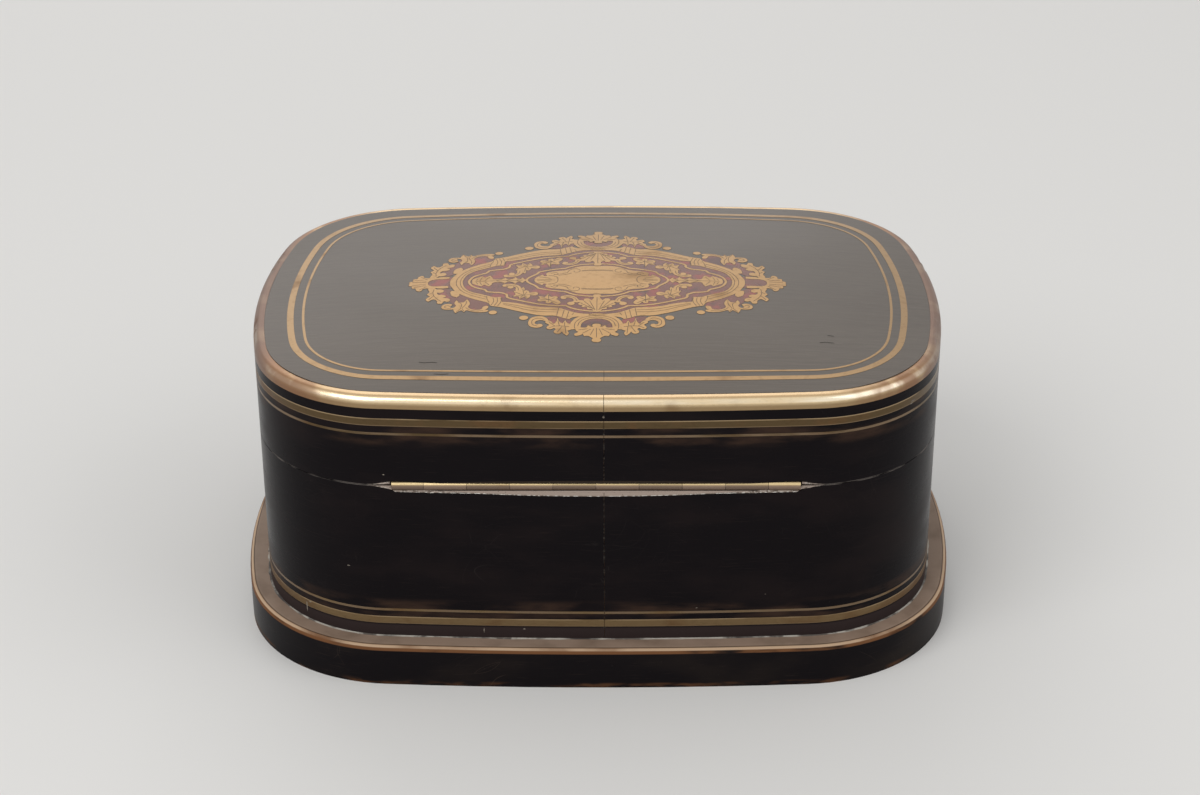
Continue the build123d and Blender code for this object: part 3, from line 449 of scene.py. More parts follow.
def build_groups():
    """The effects that several finishes share."""
    tree, enter, leave = new_group(
        "Streaks", (("Scale X", 10), ("Scale Y", 10), ("Scale Z", 10), ("Start", 0.5), ("End", 0.7)), "Mask"
    )
    place = add(tree, "ShaderNodeTexCoord").outputs["Object"]
    scales = {0: enter.outputs[0], 1: enter.outputs[1], 2: enter.outputs[2]}
    stretch = add(tree, "ShaderNodeCombineXYZ", scales)
    scaled = add(tree, "ShaderNodeVectorMath", {0: place, 1: stretch.outputs[0]}, operation="MULTIPLY")
    cloud = add(tree, "ShaderNodeTexNoise", {"Vector": scaled.outputs[0], "Scale": 1.0, "Detail": 6.0})
    mask = fade(tree, cloud.outputs["Fac"], enter.outputs["Start"], enter.outputs["End"])
    tree.links.new(mask, leave.inputs[0])

    tree, enter, leave = new_group(
        "Height band", (("Middle", 0.1), ("Half Width", 0.001), ("Softness", 0.001)), "Mask"
    )
    height = split_place(tree)["Z"]
    gap = number(tree, "ABSOLUTE", number(tree, "SUBTRACT", height, enter.outputs["Middle"]))
    outer = number(tree, "ADD", enter.outputs["Half Width"], enter.outputs["Softness"])
    mask = fade(tree, gap, outer, enter.outputs["Half Width"])
    tree.links.new(mask, leave.inputs[0])

    tree, enter, leave = new_group("Specks", (("Scale", 900), ("Amount", 0.1)), "Mask")
    place = add(tree, "ShaderNodeTexCoord").outputs["Object"]
    cells = add(tree, "ShaderNodeTexVoronoi", {"Vector": place, "Scale": enter.outputs["Scale"]})
    drift = add(tree, "ShaderNodeTexNoise", {"Vector": place, "Scale": 60.0, "Detail": 3.0})
    richer = number(tree, "SUBTRACT", drift.outputs["Fac"], 0.35)
    size = number(tree, "MULTIPLY", enter.outputs["Amount"], richer)
    mask = number(tree, "LESS_THAN", cells.outputs["Distance"], size)
    tree.links.new(mask, leave.inputs[0])

    tree, enter, leave = new_group("Scratches", (("Scale", 30), ("Width", 0.01)), "Mask")
    place = add(tree, "ShaderNodeTexCoord").outputs["Object"]
    drift = add(tree, "ShaderNodeTexNoise", {"Vector": place, "Scale": 9.0, "Detail": 1.0})
    bent = add(tree, "ShaderNodeVectorMath", {0: place, 1: drift.outputs["Color"]}, operation="ADD")
    cells = add(
        tree,
        "ShaderNodeTexVoronoi",
        {"Vector": bent.outputs[0], "Scale": enter.outputs["Scale"]},
        feature="DISTANCE_TO_EDGE",
    )
    line = fade(tree, cells.outputs["Distance"], enter.outputs["Width"], 0.0)
    patch = add(tree, "ShaderNodeTexNoise", {"Vector": place, "Scale": 35.0, "Detail": 2.0})
    mask = number(tree, "MULTIPLY", line, fade(tree, patch.outputs["Fac"], 0.56, 0.64))
    tree.links.new(mask, leave.inputs[0])


def streaks(x, y, z, start, end):
    """Cloudy streaks, finer along an axis with a larger scale."""
    values = {"Scale X": x, "Scale Y": y, "Scale Z": z, "Start": start, "End": end}
    return lambda tree: use_group(tree, "Streaks", values)


def height_band(middle, half_width, softness):
    """A level band with soft edges."""
    values = {"Middle": middle, "Half Width": half_width, "Softness": softness}
    return lambda tree: use_group(tree, "Height band", values)


def specks(scale, amount):
    """Small spots that come in drifts."""
    return lambda tree: use_group(tree, "Specks", {"Scale": scale, "Amount": amount})


def scratches(scale, width):
    """Fine scratches in patches."""
    return lambda tree: use_group(tree, "Scratches", {"Scale": scale, "Width": width})


def use_group(tree, name, values):
    """One of the shared effects, with its own values."""
    made = add(tree, "ShaderNodeGroup", values, node_tree=bpy.data.node_groups[name])
    return made.outputs[0]


def both(first, second):
    """Where two masks meet."""
    return lambda tree: number(tree, "MULTIPLY", first(tree), second(tree))


def part_of(mask, share):
    """A weaker mask."""
    return lambda tree: number(tree, "MULTIPLY", mask(tree), share)


def axis_band(axis, middle, half_width, softness):
    """A band across one axis."""
    def mask(tree):
        place = split_place(tree)
        gap = number(tree, "ABSOLUTE", number(tree, "SUBTRACT", place[axis], middle))
        return fade(tree, gap, half_width + softness, half_width)
    return mask


def beyond(axis, start, end):
    """From start to end along one axis, measured both ways from the middle."""
    def mask(tree):
        place = split_place(tree)
        return fade(tree, number(tree, "ABSOLUTE", place[axis]), start, end)
    return mask


def at_back():
    """The back of the casket."""
    def mask(tree):
        place = split_place(tree)
        return fade(tree, place["Y"], HALF_DEPTH - 14 * MM, HALF_DEPTH - 8 * MM)
    return mask


def hinge_chamfer(side):
    """The chamfer along the hinge, over the seam for 1 and under it for -1."""
    def mask(tree):
        place = split_place(tree)
        out = number(tree, "MULTIPLY", number(tree, "SUBTRACT", place["Y"], HINGE_Y), CHAMFER_FALL)
        rise = number(tree, "ABSOLUTE", number(tree, "SUBTRACT", place["Z"], SEAM))
        gap = number(tree, "ABSOLUTE", number(tree, "SUBTRACT", out, rise))
        near = fade(tree, gap, 0.34 * MM, 0.16 * MM)
        behind = fade(tree, place["Y"], HINGE_Y - 6 * MM, HINGE_Y - 5 * MM)
        this_side = fade(tree, place["Z"], SEAM - side * 0.05 * MM, SEAM + side * 0.05 * MM)
        return number(tree, "MULTIPLY", near, number(tree, "MULTIPLY", behind, this_side))
    return mask


def near_strings():
    """Brown rubbed wood beside the brass strings."""
    def mask(tree):
        streak_mask = streaks(40, 40, 160, 0.42, 0.70)(tree)
        heights = [node_middle(name) for name in ("case_line_thin", "lid_line_thin")]
        shares = [height_band(height, 2.4 * MM, 3.5 * MM)(tree) for height in heights]
        return number(tree, "MULTIPLY", number(tree, "MAXIMUM", *shares), streak_mask)
    return mask


def node_middle(name):
    """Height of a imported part's middle."""
    low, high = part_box(name)
    return (low.z + high.z) / 2


def new_material(name, colour, roughness, metallic=0.0, layers=(), bumps=(), sockets=None):
    """A finish: a ground with layers of colour, roughness and metal over it, each where its mask says."""
    material = bpy.data.materials.new(name)
    material.use_nodes = True
    tree = material.node_tree
    shader = tree.nodes["Principled BSDF"]
    for key, value in (sockets or {}).items():
        shader.inputs[key].default_value = value
    shader.inputs["Base Color"].default_value = (*colour, 1)
    shader.inputs["Roughness"].default_value = roughness
    shader.inputs["Metallic"].default_value = metallic
    state = {"Base Color": (*colour, 1), "Roughness": roughness, "Metallic": metallic}
    for mask, *changes in layers:
        share = mask(tree)
        for key, value in zip(("Base Color", "Roughness", "Metallic"), changes):
            if value is None:
                continue
            if key == "Base Color":
                mixed = add(tree, "ShaderNodeMix", data_type="RGBA")
                slots, out, value = (6, 7), 2, (*value, 1)
            else:
                mixed = add(tree, "ShaderNodeMix", data_type="FLOAT")
                slots, out = (2, 3), 0
            tree.links.new(share, mixed.inputs[0])
            if isinstance(state[key], bpy.types.NodeSocket):
                tree.links.new(state[key], mixed.inputs[slots[0]])
            else:
                mixed.inputs[slots[0]].default_value = state[key]
            mixed.inputs[slots[1]].default_value = value
            state[key] = mixed.outputs[out]
            tree.links.new(state[key], shader.inputs[key])
    normal = None
    for mask, distance in bumps:
        dent = add(tree, "ShaderNodeBump", {"Strength": 1.0, "Distance": distance, "Height": mask(tree)})
        if normal:
            tree.links.new(normal, dent.inputs["Normal"])
        normal = dent.outputs[0]
    if normal:
        tree.links.new(normal, shader.inputs["Normal"])
    return material


# What a user would change

def colour_setting(name, description, default):
    """A colour in the sidebar."""
    return bpy.props.FloatVectorProperty(
        name=name, description=description, subtype="COLOR", size=3, min=0, max=1, default=default
    )


def length_setting(name, description, default):
    """A length in the sidebar."""
    return bpy.props.FloatProperty(
        name=name, description=description, unit="LENGTH", min=0, precision=5, default=default
    )


class CasketColours(bpy.types.PropertyGroup):
    """Colours of the casket's finishes."""
    side_black: colour_setting("Side black", "Ebonised wood of the sides", (0.0066, 0.0050, 0.0060))
    # Top black is partly fading of the wood and partly a painted reflection of the bright surroundings,
    # which greys it.
    top_black: colour_setting("Top black", "Ebonised wood of the top, faded by light", (0.068, 0.056, 0.045))
    worn_wood: colour_setting("Worn wood", "Brown wood where the black is rubbed off", (0.16, 0.070, 0.030))
    dust: colour_setting("Dust", "Dust in corners and joints", (0.42, 0.39, 0.34))
    # Used for dust on the hinge's chamfer, and for the pale strip on the back beside it, which also paints
    # the light of an upward-facing chamfer.
    hinge_dust_and_light: colour_setting("Hinge dust", "Dust in the groove along the hinge", (0.36, 0.29, 0.245))
    rim_brass: colour_setting("Rim brass", "Brass band round the lid", (0.72, 0.55, 0.33))
    tarnish: colour_setting("Tarnish", "Brown tarnish on brass", (0.16, 0.085, 0.04))
    string_brass: colour_setting("String brass", "Brass strings round the sides", (0.115, 0.078, 0.040))
    top_line_brass: colour_setting("Top line brass", "Brass strings on the top", (0.30, 0.19, 0.092))
    panel_brass: colour_setting("Panel brass", "Brass of the marquetry", (0.325, 0.190, 0.075))
    hinge_brass: colour_setting("Hinge brass", "Brass of the hinge", (0.34, 0.245, 0.15))
    shell: colour_setting("Shell", "Red shell ground of the marquetry", (0.150, 0.046, 0.028))
    shell_light: colour_setting("Light shell", "Lighter spots in the shell", (0.27, 0.060, 0.045))
    engraving: colour_setting("Engraving", "Dark wax in the engraved lines", (0.035, 0.022, 0.014))
    satin: colour_setting("Satin", "Satin of the linings", (0.36, 0.035, 0.055))
    velvet: colour_setting("Velvet", "Velvet of the tray", (0.20, 0.014, 0.028))
    carcass: colour_setting("Carcass wood", "Bare wood of the carcass", (0.20, 0.095, 0.045))
    tray_wood: colour_setting("Tray wood", "Polished wood of the tray", (0.11, 0.038, 0.020))
    steel: colour_setting("Steel", "Key, pins and base screws", (0.36, 0.35, 0.33))


class CasketSizes(bpy.types.PropertyGroup):
    """Sizes of the inlay and the linings."""
    shell_lift: length_setting("Shell lift", "Top of the shell over the veneer", 0.02 * MM)
    kerf_lift: length_setting("Kerf lift", "Top of the dark saw line over the veneer", 0.035 * MM)
    brass_lift: length_setting("Brass lift", "Top of the inlaid brass over the veneer", 0.06 * MM)
    kerf: length_setting("Kerf", "Width of the dark saw line round the brass", 0.16 * MM)
    plate: length_setting("Plate", "Thickness of the inlay that is modelled", 0.3 * MM)
    engraved_width: length_setting("Engraved width", "Width of an engraved line", 0.22 * MM)
    tuft_depth: length_setting("Tuft depth", "How deep the buttons draw the lid's pad in", 4.2 * MM)


# Marquetry drawing

# One quarter of the panel, in millimetres from its middle. A third value marks a sharp point.

BAND_OUTER = [
    (58.5, 0), (58.4, 2), (57.4, 5.2), (56, 8.4), (53.8, 11.5), (50.5, 14.6), (47.4, 16.9), (44.6, 18.6),
    (42.4, 20.2), (41.4, 22.7, 1), (37.2, 24.2), (31.5, 27.3), (26, 30), (21.5, 31.7), (15.6, 32.2),
    (13.2, 33.7), (10.6, 35, 1), (9, 33.4), (0, 33),
]
BAND_INNER = [
    (53.4, 0), (53.2, 2), (52.4, 5.3), (51, 8), (48.6, 10.3), (45.8, 11.9), (42.5, 13.9), (40.6, 15.0),
    (37.4, 15.2, 1), (37.1, 19.5, 1), (34.3, 19.9), (29.8, 21.4), (26, 23.2), (21.5, 24.5), (14.8, 25.4),
    (12.4, 26.9), (8.3, 29.5), (5.4, 30.4), (0, 30.6),
]
THREAD = [
    (50.9, 0), (50.6, 1.7), (49.2, 4.6), (46, 7.1), (44.5, 7.9), (43.3, 10, 1), (40.4, 10.8),
    (37.7, 11.3), (36.4, 12.2), (35.5, 13), (35.1, 15.5), (33.7, 16.8), (31.5, 17.9), (26.5, 20.4),
    (21.5, 22.4), (16, 23.5), (12, 23.8, 1), (10.4, 25.3), (6.5, 27.3), (1.5, 28.5), (0, 28.6),
]
MEDALLION_LINE = [
    (28, 0), (27.6, 1.6), (26.4, 3.3), (24.2, 5.8), (23.2, 7.8, 1), (21.5, 8.6), (17.2, 10.2),
    (12.7, 11.2, 1), (10.9, 12.7), (8.2, 14.3), (2.6, 15.5), (0, 15.6),
]
MEDALLION = [
    (25, 0), (24.6, 1.8), (23.2, 3.7), (21.7, 5.2, 1), (21, 3.6), (20, 4.1, 1), (20.5, 5.8),
    (19.8, 7.4, 1), (17.2, 8.3), (14.2, 8.9), (11.2, 10.2), (8.8, 12.2), (6, 13.3), (3, 13.5), (0, 13.3),
]
HORSESHOE = [
    (0, 30.3), (6.2, 32.4), (9.3, 36.2), (10.3, 40.6), (9.9, 43.2, 1), (8, 43, 1), (6, 42.4, 1),
    (6.06, 40.6), (5.2, 37.4), (3.3, 35.4), (0, 34.5),
]
PALMETTE = [
    (0, 38.4), (1.5, 38.9), (1.9, 40.3), (1.5, 41.2, 1), (3.4, 39.8), (3.9, 41.6, 1), (5.7, 41.6),
    (7.9, 42.6), (7.9, 44, 1), (6.9, 45.2, 1), (8.5, 46.6, 1), (8, 48.1), (6.2, 47.6), (5.2, 46.7, 1),
    (4.7, 48.4, 1), (3.2, 48.2), (2.1, 49.2, 1), (1.3, 50, 1), (1.8, 51.2), (1.3, 52.5), (0, 52.9),
]
SPRAY = [
    (9.7, 39), (11.2, 38.2, 1), (12.1, 35.8, 1), (13, 38.2, 1), (14, 37.4), (15, 33.5, 1), (15.7, 37.4),
    (16.6, 38.6, 1), (17.4, 36.8), (18.8, 35.8), (19.7, 37.4), (18.2, 39.5), (19, 40.8), (18.9, 42.3),
    (17.6, 42.9), (16.2, 41.9, 1), (15.6, 43), (16.3, 44.6), (15.6, 46.1), (14.1, 46.3), (13.2, 44.7, 1),
    (12.5, 46.4), (11.2, 48, 1), (10.5, 46.2), (11.1, 44.2, 1), (9.9, 43.4), (9.3, 41.4),
]
SCROLL = [
    (18.9, 36.2), (19.5, 33.6), (21.8, 32.3), (24.9, 33.3), (26.2, 36.8), (25.7, 40), (23.5, 41.5),
    (21.3, 41), (20.6, 39.6), (21.6, 38.5), (22.9, 38.9), (23.7, 37.8), (23.1, 36.2), (21.5, 35.5),
]
CLUSTER = [
    (50.8, 16.3, 1), (51.9, 18.8, 1), (53.4, 19), (54.9, 16.9, 1), (55.6, 19.6), (54.9, 21.5), (55.4, 23),
    (56.6, 23.6), (56.9, 22.1), (56.3, 20.8), (57.6, 19.9), (59.6, 20.4), (60.5, 22.4), (59.8, 24.3),
    (57.8, 25), (55.7, 24.8, 1), (55.5, 26), (54.7, 28.1, 1), (53.3, 26.4), (52.5, 25.8, 1),
    (51.4, 27.6, 1), (50.5, 26), (49.3, 26.7), (47.4, 27.6), (44.6, 28), (42.3, 27.4), (42, 26.5),
    (43.3, 26, 1), (42.3, 24.6), (42.5, 22.7), (44.2, 23.4), (44.7, 25.2), (46.6, 25.8), (48.9, 24.9),
    (50, 23.1), (49.5, 20.6), (49.9, 18.4),
]
CUSP_LEAF = [
    (57.4, 8.4), (57.6, 10.8), (56.8, 13), (55, 14.3, 1), (54, 12.6), (54.6, 10.4), (56, 8.4),
]
TRUNK = [
    (66.6, 5.2), (64.6, 4.8), (63.4, 6.3, 1), (61.6, 6.4), (60.4, 8.2), (61.5, 9.6), (63, 9.2, 1),
    (62.6, 11), (60.4, 11.6), (59.3, 13.2), (60.6, 14.3, 1), (58.6, 14.8), (57.5, 16.4), (58.2, 17.9),
    (59.8, 17.3, 1), (60.6, 19.6, 1), (62.2, 19.2), (62.5, 17, 1), (64, 15.4), (66, 17.2, 1),
    (67.1, 15.4), (66.3, 13.4), (65.6, 12.6, 1), (67, 10.8, 1), (66.1, 8.6),
]
SIDE_SHELL = [
    (74.6, 0), (74.7, 1.7), (73.3, 2.4, 1), (73.3, 4.2), (71.8, 4.6, 1), (71.2, 6.8), (69.8, 7.3),
    (69, 5.4, 1), (67.4, 4.9), (66.2, 5.4), (64.5, 4.9), (62, 5.5), (58.9, 5.4, 1), (58.9, 3.5, 1),
    (61.5, 3.2), (64.5, 3.2), (66.5, 2.2), (67.2, 0),
]
SIDE_LEAF = [
    (49.7, 0), (49.3, 2.3), (47.8, 3.5, 1), (45.9, 4.9, 1), (44.7, 3.5, 1), (42.7, 5.3, 1), (41.7, 3.1),
    (41.3, 1.7), (38.2, 1.5, 1), (36.7, 2.8, 1), (35.5, 1.4), (34, 1.5, 1), (32.5, 3.3, 1), (31.6, 1.6),
    (30.8, 1.4, 1), (29.7, 2.6, 1), (28.9, 1), (28.2, 0),
]
FIELD_SCROLL = [
    (37.4, 4.2), (35, 3.3), (32.2, 4), (30.2, 6.4), (30, 9.6), (31.4, 11), (32.2, 9), (32.1, 7),
    (33.2, 5.6, 1), (33.1, 7), (34.4, 7.6), (35.4, 6.6), (35, 5.2, 1), (36.8, 5.8),
]
DIAGONAL_LEAF = [
    (29, 6.4, 1), (28.5, 8.4), (28.9, 10, 1), (27.8, 9.6), (26.9, 10.4), (26.5, 12, 1), (25.2, 11.3),
    (23.7, 11.5), (23.1, 12.9), (23.9, 14.2), (25.4, 14.3), (26.2, 13.9, 1), (26.3, 15.5),
    (27.4, 17.2, 1), (28.4, 15.3, 1), (30.3, 17.2, 1), (30.7, 15, 1), (32.9, 15, 1), (31.9, 12.9, 1),
    (33, 9.7, 1), (31.2, 10.3), (30.1, 9.4, 1), (29.9, 7.8),
]
MIDDLE_SPRAY = [
    (19, 12.8, 1), (18.7, 15.1), (17.6, 15.9, 1), (16.5, 15.2), (15.3, 16), (15.9, 17.9, 1), (14.7, 19.4),
    (14.2, 21.3), (15.4, 22.5), (16.9, 21.4), (17.6, 20.1, 1), (18.4, 21.4), (19.9, 21), (19.9, 19.2, 1),
    (21.2, 19.6), (22.7, 19.7), (23.2, 18.1), (22.1, 17, 1), (23.1, 15.3, 1), (21.3, 15.5),
    (20.6, 16.4, 1), (19.9, 14.8),
]
FAN_SCROLL = [
    (14.2, 17), (14.1, 15.5), (12.6, 14.8), (10.6, 14.7), (8.6, 15.9), (7.3, 18.2), (6.6, 20), (7.8, 21),
    (8.9, 20.7, 1), (8.7, 22.3), (9.9, 23.3), (11.3, 22.6), (11.5, 21.2), (10.4, 20.4), (9.2, 20, 1),
    (9.2, 18.4), (10.5, 16.8), (11.9, 16.5, 1), (12.2, 17.6), (13.4, 17.9),
]
FAN = [
    (0, 13.9), (1.3, 14.1), (1.3, 17.2), (2.2, 19, 1), (3.4, 17.5), (5, 17.9), (5.1, 19.5, 1), (6.6, 19),
    (7.6, 20), (6.5, 21.2, 1), (7.3, 22.2), (6.7, 23.2), (5.5, 23.2, 1), (5.9, 24.6), (5, 25.2),
    (3.9, 25, 1), (3.6, 26.6), (2.2, 26.8), (1.4, 28, 1), (1.1, 29), (0, 29),
]

BRASS_PIECES = (
    ("once", MEDALLION), ("sides", HORSESHOE), ("sides", PALMETTE), ("sides", FAN), ("ends", SIDE_SHELL),
    ("ends", SIDE_LEAF), ("four", SPRAY), ("four", SCROLL), ("four", CLUSTER), ("four", CUSP_LEAF),
    ("four", TRUNK), ("four", FIELD_SCROLL), ("four", DIAGONAL_LEAF), ("four", MIDDLE_SPRAY),
    ("four", FAN_SCROLL), ("four", disc(28.1, 33.4, 1.75)), ("four", disc(40.2, 28.4, 1.6)),
)
SHELL_PIECES = (
    ("once", [(x * 0.97, y * 0.95) for x, y, *_ in BAND_OUTER]),
    ("ends", [(68.4, 0), (67.8, 4), (63, 5.2), (57.6, 5.2), (55, 0)]),
    ("four", [(57, 8), (60.5, 6), (63, 8.5), (61, 12), (58.6, 16.4), (56, 20.6), (54.6, 23.6), (50, 26.4),
              (45, 27), (42.6, 24.5), (42.6, 20.4), (48, 16.4), (53, 12.2)]),
    ("sides", [(0, 32), (5.4, 34.2), (7.6, 39.6), (5.4, 44.4), (0, 46)]),
    ("four", [(9.6, 36.4), (12, 33.4), (16, 32.6), (19.6, 33.4), (19.4, 36.6), (15, 40), (10.4, 41.4)]),
)
ENGRAVED = [
    # rays and veins
    [(0, 38.5), (1.4, 38.9), (1.8, 40.2), (1.6, 41.1), (3.3, 39.9), (3.9, 41.4), (5.6, 41.5)],
    [(0, 42), (0, 49.4)], [(1, 42.6), (2.3, 47.6)], [(2.2, 42.9), (5.4, 46.4)], [(3.4, 42.7), (7, 43.6)],
    [(0, 28), (0, 16.5)], [(0.7, 27.4), (2.9, 19.5)], [(1.2, 26.8), (5, 19.8)],
    [(1.6, 26.2), (6.3, 21.6)], [(1.9, 25.8), (5, 24.2)],
    [(10.4, 41), (13, 40.4), (16, 40.5), (18.2, 41.8)], [(12.2, 40.4), (12.2, 37.2)],
    [(14.2, 40.3), (14.9, 36)], [(16, 40.3), (18.2, 37.2)], [(13.2, 40.8), (14.9, 45.2)],
    [(12, 41), (11.6, 46)], [(28.6, 14), (29.3, 8.2)], [(28.4, 13.8), (27.6, 11)],
    [(28.2, 14), (24.6, 12.9)], [(28.6, 14.2), (27.4, 16)], [(28.9, 14.2), (30.1, 16)],
    [(29, 13.8), (32.2, 11)], [(28.9, 14), (31.9, 14.5)], [(18.8, 18.4), (19, 14.2)],
    [(18.8, 18.4), (16.6, 16.6)], [(18.8, 18.4), (15.6, 21.2)], [(18.9, 18.4), (19, 20.4)],
    [(19, 18.2), (22.2, 18.4)], [(19, 18.2), (21.8, 16.2)], [(53, 24.6), (52.8, 20.4), (54.2, 18.6)],
    [(52.4, 24.4), (51, 20.2), (51, 18)], [(53, 24.8), (54.4, 27)], [(52.2, 25), (51.4, 26.8)],
    [(64.4, 6.2), (64.6, 10), (63.4, 13.8), (61, 17.4)], [(64.2, 12.2), (66, 15.6)],
    [(64.6, 9), (66, 10.4)], [(48.6, 0), (43, 0), (36, 0), (29.4, 0)], [(46.6, 0.6), (45.8, 3.6)],
    [(44.6, 0.6), (42.8, 3.8)], [(48, 0.8), (47.4, 2.6)], [(40, 0.3), (36.8, 2)],
    [(36, 0.3), (32.8, 2.3)], [(32, 0.3), (30, 1.8)], [(68, 1), (73.6, 1.4)], [(68, 2.2), (72.6, 3.4)],
    [(67.6, 3.2), (70.4, 6.2)],
    # scroll lines
    [(20.2, 35), (22, 33.9), (24.2, 34.8), (24.9, 37.2), (24.2, 39.4), (22.8, 40.2)],
    [(44, 26.6), (46.6, 26.9), (49.4, 25.7), (51, 23.6)],
    [(57.2, 22.3), (58.3, 21.3), (59.2, 22.4), (58.4, 23.6), (56.6, 24.2)],
    [(36, 4.6), (33.4, 4.6), (31.4, 6.6), (31, 9.4)],
    [(12.8, 15.9), (10.6, 15.8), (8.6, 17.4), (7.8, 19.6)],
    # medallion
    [(15.6, 0), (15.9, 2), (17.2, 3.6), (19.4, 4.2)], [(18, 0.4), (24, 0.6)], [(18.6, 1.4), (23.2, 3)],
    [(18.4, 6), (17.2, 7), (15.8, 6.4), (16.2, 5.2), (17.4, 5.4)], [(17.4, 4.9), (14.6, 5.6), (12, 6.9)],
    [(12, 6.9), (10.9, 9.6), (8.6, 10.6), (7, 9.2), (7.6, 7.4), (9.2, 7.4), (9.4, 8.6)],
    [(15.6, 4.2), (12.8, 5), (10.2, 6.4)],
    # band: the line between its two straps, the clasp and the mitred end
    [(56, 0), (55.8, 2.4), (54.8, 5.6), (53.2, 8.8), (50.8, 11.6), (47.2, 14.4), (43.4, 16.8)],
    [(54.4, 0), (54.2, 2.2), (53.4, 5.4), (52, 8.2), (49.6, 10.9), (46.4, 12.9), (43, 14.9)],
    [(36.4, 21.8), (31.5, 24.2), (26.5, 27), (20.4, 28.6), (15.2, 28.9)],
    [(36.6, 20.8), (31.4, 22.8), (26.2, 25.2), (21, 26.7), (15.4, 27.2)],
    [(43.2, 14.2), (43, 16.6), (42, 19.8)], [(40.7, 15.6), (40.3, 19), (41.2, 22.2)],
    [(37.6, 15.6), (37.4, 19.2), (38.6, 23)], [(39.1, 15.6), (38.8, 19), (39.9, 22.6)],
    [(14.8, 25.6), (15.4, 32)], [(12.6, 27.2), (13.4, 33.4)], [(10.8, 28.4), (11.6, 34.2)],
    [(8.8, 29.6), (9.6, 31.6)],
    # lines that meet their mirror images at the panel's middle
    [(0, 32), (4.6, 33.2), (7.6, 36.4), (8.5, 40.4), (8.2, 42.6)],
    [(0, 33.4), (3.8, 34.4), (6.4, 37), (7.2, 40.4)],
    [(6.4, 8.2), (3, 8.7), (0, 8.8)],
    [(6.2, 8.9), (3, 9.4), (0, 9.5)],
]


# Operators

def paint(material, *names):
    """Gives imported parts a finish."""
    for name in names:
        slots = nodes[name].material_slots
        for slot in slots:
            slot.material = material
        if not slots:
            nodes[name].data.materials.append(material)


